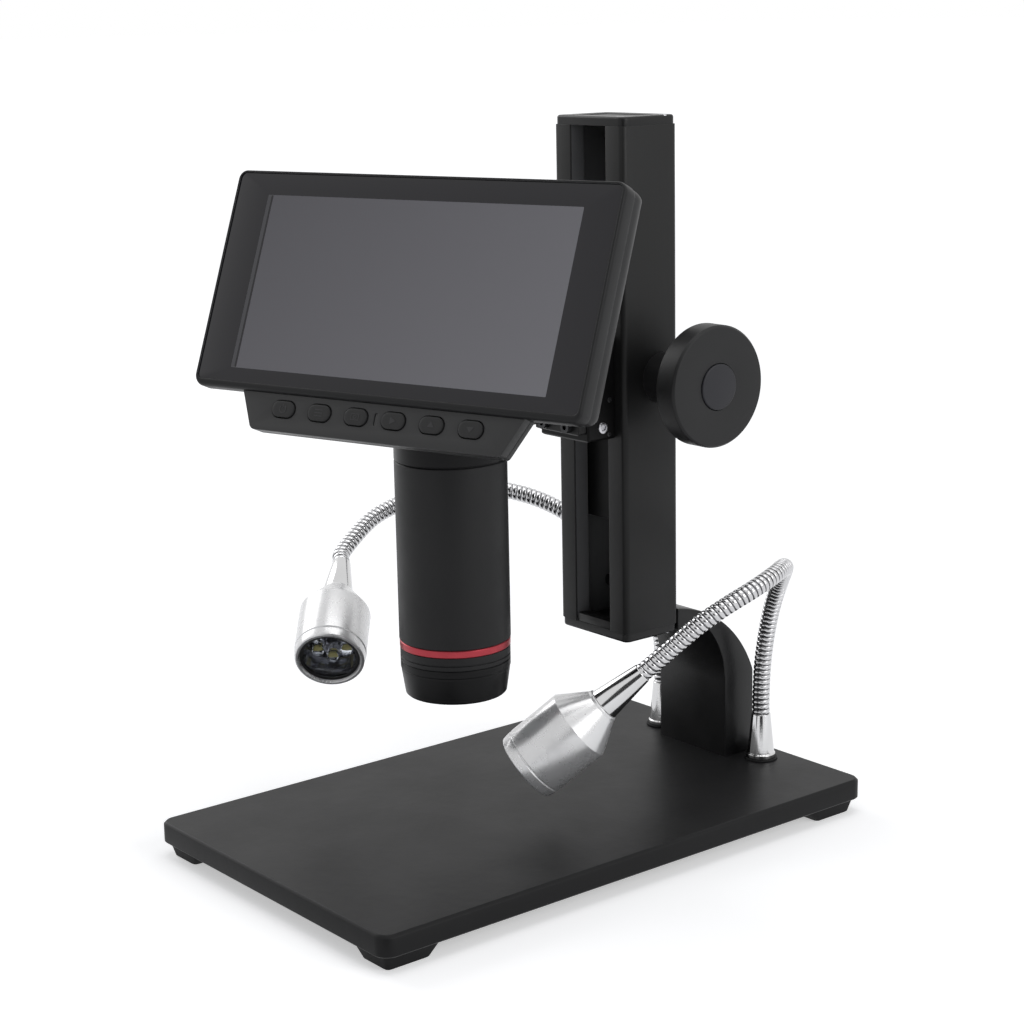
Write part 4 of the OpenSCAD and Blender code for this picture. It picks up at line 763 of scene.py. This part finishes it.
objective = new_piece("objective", turned(lens_section, 96, closed=False))
objective.data.materials.append(coated)
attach(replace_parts(objective, "objective_lens"), "head")
board_green = finish_of(
    "green circuit board", (0.012, 0.09, 0.04), (0.02, 0.13, 0.06), 0.004, 0.35, 0.08
)
grained(board_green, 0.0006, 0.00003)
dressed(board_green, "sensor_board", "main_board")

# ------------------------------------------------------------ screen housing
# Two moulded halves: a front frame with a raised lip round the glass, and a rear cover
# with the hub that sits on the tube. The cover's screws pull them together.
screen = yaw @ Matrix.Translation((0, -22.46, 166)) @ Matrix.Rotation(math.radians(67.3), 4, "X")
housing_black = finish_of(
    "fine textured black ABS", (0.023, 0.023, 0.0234), (0.03, 0.03, 0.0304), 0.02, 0.42, 0.05,
    specular=0.34,
)
grained(housing_black, 0.00045, 0.00002)
shell_black = finish_of(
    "fine textured black housing", (0.011, 0.011, 0.0115), (0.015, 0.015, 0.0155), 0.02, 0.44, 0.05,
    specular=0.18,
)
grained(shell_black, 0.00045, 0.00002)
# Lighter edges: wear and a painted edge highlight.
edge_wear_and_painted_highlight(shell_black, 0.0003, 0.2, 0.6)


def housing_outline(step):
    """The housing's rim at step 0 and the glass opening at step 1; the rim is wider below."""
    left, right, low, top = -69.4 + step, 68.5 - step, -33.1 + 2.1 * step, 34.4 - 0.95 * step
    radius = max(3.2 - 1.4 * step, 0.5)
    return rounded(right - left, top - low, radius, ((left + right) / 2, (low + top) / 2))


front_frame = new_piece(
    "front_frame_moulding",
    stacked(housing_outline, [
        (1.03, -1.3), (1.03, 0.1), (0.95, 0.25), (0.82, 0.3), (0.5, 0.3), (0.36, 0.22), (0.22, 0.0),
        (0.1, -0.35), (0.04, -0.6), (0.0, -1.0), (0.0, -4.5), (0.05, -4.8), (0.3, -5.0), (0.3, -5.4),
        (3, -5.4), (3, -1.3),
    ], closed=True),
    screen, smooth=40,
)
front_frame.data.materials.append(shell_black)
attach(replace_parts(front_frame, "front_frame"), "head")

rear_levels = [(2, -5.4), (0.3, -5.4)]
for k in range(10):
    a = math.radians(10 * k)
    rear_levels.append((0.3 + 3.6 * (1 - math.cos(a)), -6.9 - 5.8 * math.sin(a)))
rear_levels.append((5, -12.7))
rear_shape = stacked(housing_outline, rear_levels)
rear_cover = new_piece("rear_cover_moulding", rear_shape, screen)
rear_cover.data.materials.append(shell_black)
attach(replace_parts(rear_cover, "rear_cover"), "head")

hub = turned(eased([(17.05, 134.4, 0.2), (19.45, 134.4, 0.5), (19.45, 174.4, 3.2), (0, 175.0, 0),
                    (0, 146.1, 0), (17.05, 146.1, 0)], steps=5), 128, closed=False)
tilted = screen.inverted() @ yaw
hub.transform(tilted)
cut = bmesh.ops.bisect_plane(
    hub, geom=[*hub.verts, *hub.edges, *hub.faces], plane_co=(0, 0, -11.6), plane_no=(0, 0, 1),
    clear_outer=True,
)
bmesh.ops.holes_fill(hub, edges=[e for e in hub.edges if e.is_boundary])
tube_hub = new_piece("rear_cover_hub", hub, screen, smooth=30)
tube_hub.data.materials.append(shell_black)
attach(tube_hub, "head")
cover_spots = [(-0.45 + sx * 60.9, 0.65 + sy * 24.6, -12.7) for sx in (-1, 1) for sy in (-1, 1)]
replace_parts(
    screws("rear_cover_screw_heads", cover_spots, (0, 0, -1), 2.5, screw_black, "head", screen),
    "rear_cover_screws",
)
dressed(steel, "power_inlet")

# ------------------------------------------------------------ glass and display
# A strengthened glass with a black print round its edge covers the whole front. The
# display is bonded behind its clear window and looks grey while it is off.
print_black = finish_of(
    "black print behind glass", (0.006, 0.0055, 0.0085), (0.0085, 0.0076, 0.012), 0.05, 0.09, 0.02,
    specular=0.36,
)
grained(print_black, 0.02, 0.000002, detail=1)
glass_border = new_piece(
    "glass_border",
    stacked(lambda inset: rounded(135.9 - 2 * inset, 64.4 - 2 * inset, max(1.8 - inset, 0.05), (-0.45, 1.22))
            if inset < 3 else rounded(112.4, 53.5, 0.3),
            [(0, -1.1), (0, -0.12), (0.04, -0.03), (0.12, 0), (5, 0), (5, -1.1)], closed=True),
    screen, smooth=30,
)
glass_border.data.materials.append(print_black)
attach(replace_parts(glass_border, "cover_glass"), "head")
display_grey = finish_of(
    "display that is off", (0.103, 0.1, 0.113), (0.208, 0.204, 0.222), 0.05, 0.12, 0.02, specular=0.4
)
# The display's grey grows lighter from its top left corner towards its bottom right: a painted reflection.
painted_reflection_nodes, painted_reflection_links = display_grey.node_tree.nodes, display_grey.node_tree.links
painted_reflection_at = painted_reflection_nodes.new("ShaderNodeTexCoord")
painted_reflection_turn = painted_reflection_nodes.new("ShaderNodeMapping")
painted_reflection_turn.vector_type = "TEXTURE"
painted_reflection_turn.inputs["Location"].default_value = (screen @ Vector((-56, 27, 0))) * 0.001
painted_reflection_turn.inputs["Rotation"].default_value = (
    screen @ Matrix.Rotation(math.radians(-42), 4, "Z")
).to_euler()
painted_reflection_turn.inputs["Scale"].default_value = (0.118, 0.118, 0.118)
painted_reflection = painted_reflection_nodes.new("ShaderNodeTexGradient")
painted_reflection_links.new(painted_reflection_at.outputs["Object"], painted_reflection_turn.inputs["Vector"])
painted_reflection_links.new(painted_reflection_turn.outputs["Vector"], painted_reflection.inputs["Vector"])
painted_reflection_links.new(painted_reflection.outputs["Fac"], painted_reflection_nodes["Mix"].inputs["Factor"])
display = new_piece(
    "display_window", prism(rounded(112.4, 53.5, 0.3, steps=2), -3.6, -0.02), screen, smooth=30
)
display.data.materials.append(display_grey)
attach(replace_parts(display, "lcd_panel"), "head")

# Seen from the right, the thickness of the glass shows a little of the display's own
# frame along the window's left edge: a grey strip and a dark gap.
matrix_grey = finish_of(
    "frame of the display", (0.055, 0.054, 0.06), (0.07, 0.068, 0.076), 0.02, 0.14, 0.03, specular=0.4
)
matrix_strip = new_piece(
    "display_frame_strip", prism([(-56.1, -26.6), (-54.9, -26.6), (-54.9, 26.6), (-56.1, 26.6)], -0.5, 0.0), screen
)
matrix_strip.data.materials.append(matrix_grey)
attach(matrix_strip, "head")
gap_line = new_piece(
    "display_gap", prism([(-54.9, -26.6), (-54.2, -26.6), (-54.2, 26.6), (-54.9, 26.6)], -0.5, -0.005), screen
)
gap_line.data.materials.append(print_black)
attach(gap_line, "head")

# ------------------------------------------------------------ control strip
# A moulded strip below the glass with six keys in oval holes, closed from behind by a
# shelf. A narrow slot between the middle keys holds the status light.
STRIP_TOP, STRIP_LOW, STRIP_FRONT, KEY_ROW, KEY_PITCH = -33.1, -44.4, -1.0, -37.6, 13.4


def pill(length, width, middle=(0, 0), steps=10):
    """Oval hole or key outline along x."""
    loop = []
    for end in (1, -1):
        for k in range(steps + 1):
            a = math.radians(-90 * end + 180 * k / steps) if end == 1 else math.radians(90 + 180 * k / steps)
            loop.append((
                middle[0] + end * (length - width) / 2 + width / 2 * math.cos(a),
                middle[1] + width / 2 * math.sin(a),
            ))
    return loop


def pierced(name, outlines, low, high, edge, place, finish):
    """A sheet with holes: the first outline is its rim, the others are cut through it."""
    flat = bpy.data.curves.new(name, "CURVE")
    flat.dimensions = "2D"
    flat.fill_mode = "BOTH"
    for outline in outlines:
        line = flat.splines.new("POLY")
        line.points.add(len(outline) - 1)
        for point, (x, y) in zip(line.points, outline):
            point.co = (x, y, 0, 1)
        line.use_cyclic_u = True
    flat.extrude = (high - low) / 2 - edge
    flat.bevel_depth = edge
    flat.bevel_resolution = 2
    flat.offset = -edge
    sheet = bpy.data.objects.new(name, flat)
    bpy.context.scene.collection.objects.link(sheet)
    graph = bpy.context.evaluated_depsgraph_get()
    graph.update()
    shape = bmesh.new()
    shape.from_mesh(sheet.to_mesh(depsgraph=graph))
    sheet.to_mesh_clear()
    bpy.data.objects.remove(sheet)
    bmesh.ops.remove_doubles(shape, verts=shape.verts, dist=0.0005)
    piece = new_piece(name, shape, place @ Matrix.Translation((0, 0, (low + high) / 2)), smooth=30)
    piece.data.materials.append(finish)
    return piece


def strip_outline(grow=0.0):
    return eased([
        (-50.4 - grow, STRIP_TOP, 0), (-44.7 - grow, STRIP_LOW, 2.2), (44.7 + grow, STRIP_LOW, 1.6),
        (50.4 + grow, STRIP_TOP, 0),
    ], steps=6)


key_spots = [((k - 2.5) * KEY_PITCH, KEY_ROW) for k in range(6)]
light_slot = rounded(1.1, 3.6, 0.4, (0.3, KEY_ROW - 0.1), steps=3)
strip = pierced(
    "control_strip",
    [strip_outline()] + [pill(8.7, 5.3, spot) for spot in key_spots] + [light_slot],
    STRIP_FRONT - 3.2, STRIP_FRONT, 0.25, screen, housing_black,
)
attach(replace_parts(strip, "control_panel"), "head")
shelf = new_piece("strip_shelf", prism(strip_outline(), STRIP_FRONT - 5.2, STRIP_FRONT - 3.2, 0.25), screen)
shelf.data.materials.append(housing_black)
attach(shelf, "head")
window = finish_of("smoked light window", (0.01, 0.01, 0.011), (0.014, 0.014, 0.015), 0.004, 0.15, 0.02)
light_window = new_piece(
    "status_window", prism(rounded(1.05, 3.55, 0.38, (0.3, KEY_ROW - 0.1), steps=3), -3.4, -1.35, 0.08), screen
)
light_window.data.materials.append(window)
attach(light_window, "head")

# ------------------------------------------------------------ keys
# Six soft-touch keys with a slight dome, each with a small plain sign moulded on it:
# on/off, list, picture, film, up and down.
key_black = finish_of(
    "soft black key", (0.014, 0.014, 0.0143), (0.019, 0.019, 0.0193), 0.004, 0.48, 0.05, specular=0.28
)
grained(key_black, 0.0003, 0.000015)
sign_grey = finish_of(
    "sign on a key", (0.03, 0.03, 0.031), (0.04, 0.04, 0.041), 0.002, 0.45, 0.05, specular=0.3
)


def bar(x0, y0, x1, y1):
    return [(x0, y0), (x1, y0), (x1, y1), (x0, y1)]


def arc_band(radius, width, start, end, steps=14):
    spread = [math.radians(start + (end - start) * k / steps) for k in range(steps + 1)]
    out = [(radius + width / 2, a) for a in spread] + [(radius - width / 2, a) for a in reversed(spread)]
    return [(r * math.cos(a), r * math.sin(a)) for r, a in out]


signs = (
    [arc_band(1.15, 0.3, 125, 415), bar(-0.15, 0.3, 0.15, 1.5)],
    [bar(-1.4, y - 0.15, 1.4, y + 0.15) for y in (-0.9, 0, 0.9)],
    [bar(-1.5, -1.0, 1.5, -0.75), bar(-1.5, 0.75, 1.5, 1.0), bar(-1.5, -0.75, -1.25, 0.75),
     bar(1.25, -0.75, 1.5, 0.75), arc_band(0.5, 0.25, 0, 350)],
    [[(-0.9, -1.1), (1.1, 0), (-0.9, 1.1)]],
    [[(-1.2, -0.6), (1.2, -0.6), (0, 1.0)]],
    [[(-1.2, 0.6), (0, -1.0), (1.2, 0.6)]],
)
for k, (spot, sign) in enumerate(zip(key_spots, signs)):
    cap = bmesh.new()
    rows = []
    for inset, z in ((-0.6, -3.3), (-0.6, -2.4), (0, -2.4), (0, -0.85), (0.08, -0.65), (0.3, -0.54),
                     (0.8, -0.50), (1.6, -0.50)):
        rows.append([(x, y, z) for x, y in pill(8.3 - 2 * inset, 4.9 - 2 * inset, spot)])
    skinned(cap, rows)
    key = new_piece(f"key_{k + 1}", cap, screen, smooth=35)
    key.data.materials.append(key_black)
    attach(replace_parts(key, f"button_{k + 1}"), f"button_{k + 1}")
    mark = bmesh.new()
    for outline in sign:
        prism([(x + spot[0], y + spot[1]) for x, y in outline], -0.6, -0.44, into=mark)
    sign_piece = new_piece(f"key_sign_{k + 1}", mark, screen)
    sign_piece.data.materials.append(sign_grey)
    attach(sign_piece, f"button_{k + 1}")

# ------------------------------------------------------------ lamp sockets
# Each lamp's post passes through a washer into the plate, and a small set screw beside
# it holds it at the turn it was given.
washers = bmesh.new()
for x in (-24, 24):
    ring = turned(eased([(3.05, 0.02, 0), (5.5, 0.02, 0.1), (5.4, 0.58, 0.25), (3.05, 0.58, 0.1)]), 64)
    ring.transform(Matrix.Translation((x, 107.6, 0)))
    spare = bpy.data.meshes.new("spare")
    ring.to_mesh(spare)
    ring.free()
    washers.from_mesh(spare)
    bpy.data.meshes.remove(spare)
socket_rings = new_piece("socket_rings", washers)
socket_rings.data.materials.append(rubber)
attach(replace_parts(socket_rings, "socket_washers"), "stand")
dressed(screw_black, "lamp_lock_screws")

# ------------------------------------------------------------ lamp necks
# A gooseneck is a spring of round steel wire with a second wire wound into its outer
# groove, so that the neck bends and stays. Both are wound here along each neck's line.
NECK_R, WIND_PITCH = 2.9, 1.7
chrome = finish_of(
    "bright nickel plating", (0.62, 0.62, 0.63), (0.52, 0.52, 0.53), 0.003, 0.16, 0.04, metal=1.0
)
grained(chrome, 0.0006, 0.000012)
groove_steel = finish_of(
    "oiled spring steel in the grooves", (0.16, 0.16, 0.17), (0.1, 0.1, 0.11), 0.003, 0.35, 0.06, metal=1.0
)
grained(groove_steel, 0.0004, 0.00001)

wind_tree, wind_in, wind_out = tree_of(
    "wound wire",
    (("Pitch", "NodeSocketFloat"), ("Coil Radius", "NodeSocketFloat"), ("Wire Radius", "NodeSocketFloat"),
     ("Flatten", "NodeSocketFloat"), ("Start Turn", "NodeSocketFloat"), ("Steps Per Turn", "NodeSocketInt"),
     ("Finish", "NodeSocketMaterial")),
)
link = wind_tree.links.new


def sum_of(tree, kind, first, second):
    """One arithmetic step in a node tree; a number is set, a socket is linked."""
    step = tree.nodes.new("ShaderNodeMath")
    step.operation = kind
    for socket, value in zip(step.inputs, (first, second)):
        if value is None:
            continue
        if isinstance(value, (int, float)):
            socket.default_value = value
        else:
            tree.links.new(value, socket)
    return step.outputs[0]


def scaled(tree, vector, factor):
    """A vector times a number in a node tree."""
    step = tree.nodes.new("ShaderNodeVectorMath")
    step.operation = "SCALE"
    tree.links.new(vector, step.inputs[0])
    tree.links.new(factor, step.inputs["Scale"])
    return step.outputs[0]


span = wind_tree.nodes.new("GeometryNodeCurveLength")
link(wind_in.outputs["Geometry"], span.inputs[0])
turns = sum_of(wind_tree, "DIVIDE", span.outputs[0], wind_in.outputs["Pitch"])
count = sum_of(wind_tree, "MULTIPLY", turns, wind_in.outputs["Steps Per Turn"])
fine = wind_tree.nodes.new("GeometryNodeResampleCurve")
link(wind_in.outputs["Geometry"], fine.inputs["Curve"])
link(count, fine.inputs["Count"])
along = wind_tree.nodes.new("GeometryNodeSplineParameter")
whole = sum_of(wind_tree, "DIVIDE", along.outputs["Length"], wind_in.outputs["Pitch"])
whole = sum_of(wind_tree, "ADD", whole, wind_in.outputs["Start Turn"])
angle = sum_of(wind_tree, "MULTIPLY", whole, 2 * math.pi)
side_way = wind_tree.nodes.new("GeometryNodeInputNormal")
ahead_way = wind_tree.nodes.new("GeometryNodeInputTangent")
third_way = wind_tree.nodes.new("ShaderNodeVectorMath")
third_way.operation = "CROSS_PRODUCT"
link(ahead_way.outputs[0], third_way.inputs[0])
link(side_way.outputs[0], third_way.inputs[1])
spoke = wind_tree.nodes.new("ShaderNodeVectorMath")
spoke.operation = "ADD"
link(scaled(wind_tree, side_way.outputs[0], sum_of(wind_tree, "COSINE", angle, None)), spoke.inputs[0])
link(scaled(wind_tree, third_way.outputs[0], sum_of(wind_tree, "SINE", angle, None)), spoke.inputs[1])
keep = wind_tree.nodes.new("GeometryNodeCaptureAttribute")
keep.capture_items.new("VECTOR", "spoke")
link(fine.outputs["Curve"], keep.inputs["Geometry"])
link(spoke.outputs[0], keep.inputs["spoke"])
coil = wind_tree.nodes.new("GeometryNodeSetPosition")
link(keep.outputs["Geometry"], coil.inputs["Geometry"])
link(scaled(wind_tree, keep.outputs["spoke"], wind_in.outputs["Coil Radius"]), coil.inputs["Offset"])
facing = wind_tree.nodes.new("GeometryNodeSetCurveNormal")
facing.mode = "FREE"
link(coil.outputs["Geometry"], facing.inputs["Curve"])
link(keep.outputs["spoke"], facing.inputs["Normal"])
wire = wind_tree.nodes.new("GeometryNodeCurvePrimitiveCircle")
wire.inputs["Resolution"].default_value = 10
link(wind_in.outputs["Wire Radius"], wire.inputs["Radius"])
squeeze = wind_tree.nodes.new("ShaderNodeCombineXYZ")
squeeze.inputs["Y"].default_value = 1
squeeze.inputs["Z"].default_value = 1
link(wind_in.outputs["Flatten"], squeeze.inputs["X"])
oval = wind_tree.nodes.new("GeometryNodeTransform")
link(wire.outputs["Curve"], oval.inputs["Geometry"])
link(squeeze.outputs[0], oval.inputs["Scale"])
swept = wind_tree.nodes.new("GeometryNodeCurveToMesh")
swept.inputs["Fill Caps"].default_value = True
link(facing.outputs["Curve"], swept.inputs["Curve"])
link(oval.outputs["Geometry"], swept.inputs["Profile Curve"])
real = wind_tree.nodes.new("GeometryNodeRealizeInstances")
link(swept.outputs["Mesh"], real.inputs["Geometry"])
coat = wind_tree.nodes.new("GeometryNodeSetMaterial")
link(real.outputs["Geometry"], coat.inputs["Geometry"])
link(wind_in.outputs["Finish"], coat.inputs["Material"])
link(coat.outputs["Geometry"], wind_out.inputs["Geometry"])


def smooth_route(points, steps=10):
    """The neck's line: a smooth curve through its points."""
    line = []
    for k in range(len(points) - 1):
        b, c = points[k], points[k + 1]
        a = points[k - 1] if k else 2 * b - c
        d = points[k + 2] if k + 2 < len(points) else 2 * c - b
        for s in range(steps):
            t = s / steps
            line.append(0.5 * (2 * b + t * (c - a) + t**2 * (2 * a - 5 * b + 4 * c - d)
                               + t**3 * (3 * b - a - 3 * c + d)))
    return line + [points[-1]]


def wound(name, line, radius, wire_radius, flatten, start, finish):
    """One wire wound along a line in millimetres."""
    thread = bpy.data.curves.new(name, "CURVE")
    thread.dimensions = "3D"
    strand = thread.splines.new("POLY")
    strand.points.add(len(line) - 1)
    for point, place in zip(strand.points, line):
        point.co = (*(place * 0.001), 1)
    piece = bpy.data.objects.new(name, thread)
    bpy.context.scene.collection.objects.link(piece)
    piece = made_by(
        wind_tree, piece, pitch=WIND_PITCH / 1000, coil_radius=radius / 1000,
        wire_radius=wire_radius / 1000, flatten=flatten, start_turn=start, steps_per_turn=22,
        finish=finish,
    )
    for face in piece.data.polygons:
        face.use_smooth = True
    return piece


# ------------------------------------------------------------ lamp heads
# A tapered ferrule grips the neck's end and is screwed into a turned aluminium shell:
# a cone, a straight body, and a rim ring that holds a clear lens over six light sources.
def turned_metal(name, place, tone, rough, metal=1.0):
    """Turned aluminium whose fine rings run round the axis of its place."""
    made = finish_of(name, (tone, tone, tone * 1.01), (tone * 0.9,) * 3, 0.008, rough, rough / 5, metal=metal)
    grained(made, 0.00012, 0.0000035, stretch=(80, 80, 1), frame_of=place)
    return made


clear = bpy.data.materials.new("clear lens")
clear.use_nodes = True
clear_skin = clear.node_tree.nodes["Principled BSDF"]
clear_skin.inputs["Transmission Weight"].default_value = 1
clear_skin.inputs["IOR"].default_value = 1.45
clear_skin.inputs["Base Color"].default_value = (0.96, 0.98, 1, 1)
clear_skin.inputs["Roughness"].default_value = 0.02
grained(clear, 0.004, 0.000006, detail=1)
epoxy = clear.copy()
epoxy.name = "clear epoxy dome"
dark_mirror = finish_of(
    "dark mirror of the reflector", (0.35, 0.35, 0.37), (0.25, 0.25, 0.27), 0.003, 0.16, 0.04, metal=1.0
)
grained(dark_mirror, 0.0008, 0.00001)
gasket = finish_of("black lens gasket", (0.012, 0.012, 0.013), (0.018, 0.018, 0.019), 0.002, 0.4, 0.05)
phosphor = finish_of(
    "yellow phosphor", (0.75, 0.68, 0.28), (0.7, 0.6, 0.22), 0.001, 0.45, 0.05
)
LAMP_LEN, FERRULE_L, CONE_L, BODY_L = 47.0, 15.7, 9.9, 21.4

lamps = (
    ("right", Vector((14.3, 15.3, 15.9)), -131, 40, 24, [
        (24.2, 108, 32), (25.6, 108.3, 43), (29, 107.5, 53.5), (34.5, 105, 62.5), (41.5, 99.8, 69),
        (48.3, 92.2, 72.2), (52.8, 83, 72), (54, 73, 69.6), (52, 64, 65.8), (48, 55.7, 60.2)]),
    ("left", Vector((-52.4, -11.3, 41)), -41, 27, -24, [
        (-25, 107.8, 32), (-29, 105.7, 43.2), (-34.6, 102.5, 53), (-41, 98.5, 61.5), (-48, 93.6, 69),
        (-55.8, 87.5, 75.2), (-63.6, 80.5, 79.4), (-71.4, 72.4, 81.7), (-78.5, 63.5, 82),
        (-84.8, 54, 80.4), (-89.1, 43.8, 77.6), (-91.1, 33.4, 73.2)]),
)
for side, rim, heading, dip, socket_x, bends in lamps:
    body = f"lamp_{side}"
    heading, dip = math.radians(heading), math.radians(dip)
    aim = Vector((math.cos(dip) * math.cos(heading), math.cos(dip) * math.sin(heading), -math.sin(dip)))
    socket = Vector((socket_x, 107.6, 15.5))
    line = smooth_route(
        [socket, socket + Vector((0, 0, 6))] + [Vector(p) for p in bends]
        + [rim - (LAMP_LEN + 6) * aim, rim - LAMP_LEN * aim]
    )
    outer = wound(f"neck_{side}_outer_wire", line, NECK_R - 0.27, 0.76, 0.34, 0.0, chrome)
    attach(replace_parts(outer, f"lamp_{side}_neck"), body)
    inner = wound(f"neck_{side}_inner_wire", line, NECK_R - 0.62, 0.42, 0.7, 0.5, groove_steel)
    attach(inner, body)

    foot = Matrix.Translation((socket_x, 107.6, 0))
    base = new_piece(
        f"lamp_{side}_base_ferrule",
        turned(eased([(1.3, -6.3, 0), (3, -6.3, 0.2), (3, 0.6, 0), (4.75, 0.6, 0.2), (4.75, 1.9, 0.3),
                      (4.4, 2.2, 0.2), (3.1, 15.5, 0.35), (2.6, 15.5, 0), (2.6, 13.5, 0), (1.3, 13.5, 0)]), 96),
        foot,
    )
    base.data.materials.append(turned_metal(f"turned nickel base {side}", foot, 0.66, 0.08))
    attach(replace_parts(base, f"lamp_{side}_base"), body)

    head = (
        Matrix.Translation(rim) @ Matrix.Rotation(heading, 4, "Z")
        @ Matrix.Rotation(math.radians(90) + dip, 4, "Y")
    )
    aluminium = turned_metal(f"turned aluminium {side}", head, 0.8, 0.27, metal=0.55)
    polished = turned_metal(f"polished ferrule {side}", head, 0.66, 0.12)
    ferrule = new_piece(
        f"lamp_{side}_neck_ferrule",
        turned(eased([(1.3, 2 - LAMP_LEN, 0), (2.6, 2 - LAMP_LEN, 0), (2.6, -LAMP_LEN, 0),
                      (3.1, -LAMP_LEN, 0.3), (5.2, FERRULE_L - LAMP_LEN, 0.25),
                      (1.3, FERRULE_L - LAMP_LEN, 0)]), 96),
        head,
    )
    ferrule.data.materials.append(polished)
    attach(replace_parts(ferrule, f"lamp_{side}_ferrule"), body)
    back = -BODY_L - CONE_L
    shell = new_piece(
        f"lamp_{side}_body",
        turned(eased([(1.3, back, 0), (5.6, back, 0.25), (5.95, back + 0.9, 0.3), (11.7, -BODY_L, 0.5),
                      (11.65, -3.85, 0.12), (11.3, -3.65, 0.1), (11.3, -3.35, 0.1), (11.6, -3.1, 0.2),
                      (11.25, -0.3, 0.35), (10.9, 0, 0.25), (10.15, 0, 0.2), (9.75, -1.1, 0),
                      (9.55, -1.1, 0), (9.55, -12.6, 0), (1.3, -12.6, 0)]), 144),
        head,
    )
    shell.data.materials.append(aluminium)
    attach(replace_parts(shell, f"lamp_{side}_shell"), body)
    seal = new_piece(
        f"lamp_{side}_gasket", turned(eased([(8.7, -1.12, 0.1), (9.7, -1.12, 0.1), (9.7, -0.8, 0.15),
                                             (8.7, -0.95, 0.1)]), 96), head,
    )
    seal.data.materials.append(gasket)
    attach(seal, body)
    dish = new_piece(
        f"lamp_{side}_dish",
        turned([(0, -12.5), (9.5, -12.5), (9.5, -2.65), (8.9, -2.65), (8.6, -4.2), (8.1, -5.9),
                (7.5, -7.2), (6.9, -8.2), (6.7, -8.6), (2.2, -8.6), (1.9, -8.2), (1.6, -8.6), (0, -8.6)],
               96, closed=False), head,
    )
    dish.data.materials.append(dark_mirror)
    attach(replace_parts(dish, f"lamp_{side}_reflector"), body)
    domes, chips = bmesh.new(), bmesh.new()
    for k in range(6):
        a = math.radians(60 * k)
        spot = Matrix.Translation((4.9 * math.cos(a), 4.9 * math.sin(a), -8.6))
        dome = turned(
            [(0, 0.02), (1.95, 0.02), (1.95, 0.6), (1.7, 0.62), (1.7, 1.5)]
            + [(1.7 * math.cos(math.radians(15 * s)), 1.5 + 1.7 * math.sin(math.radians(15 * s))) for s in range(1, 6)]
            + [(0, 3.2)], 32, closed=False,
        )
        dome.transform(spot)
        chip = prism(rounded(1.5, 1.5, 0.2, steps=3), 0.25, 0.75, 0.05)
        chip.transform(spot)
        for piece, part in ((domes, dome), (chips, chip)):
            spare = bpy.data.meshes.new("spare")
            part.to_mesh(spare)
            part.free()
            piece.from_mesh(spare)
            bpy.data.meshes.remove(spare)
    leds = new_piece(f"lamp_{side}_domes", domes, head)
    leds.data.materials.append(epoxy)
    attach(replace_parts(leds, f"lamp_{side}_leds"), body)
    lights = new_piece(f"lamp_{side}_chips", chips, head)
    lights.data.materials.append(phosphor)
    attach(lights, body)
    window = new_piece(
        f"lamp_{side}_window",
        turned(eased([(0, -2.6, 0), (9.5, -2.6, 0.15), (9.5, -1.15, 0.2), (0, -1.1, 0)]), 96, closed=False),
        head,
    )
    window.data.materials.append(clear)
    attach(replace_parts(window, f"lamp_{side}_lens"), body)

bpy.data.objects.remove(screw_head)
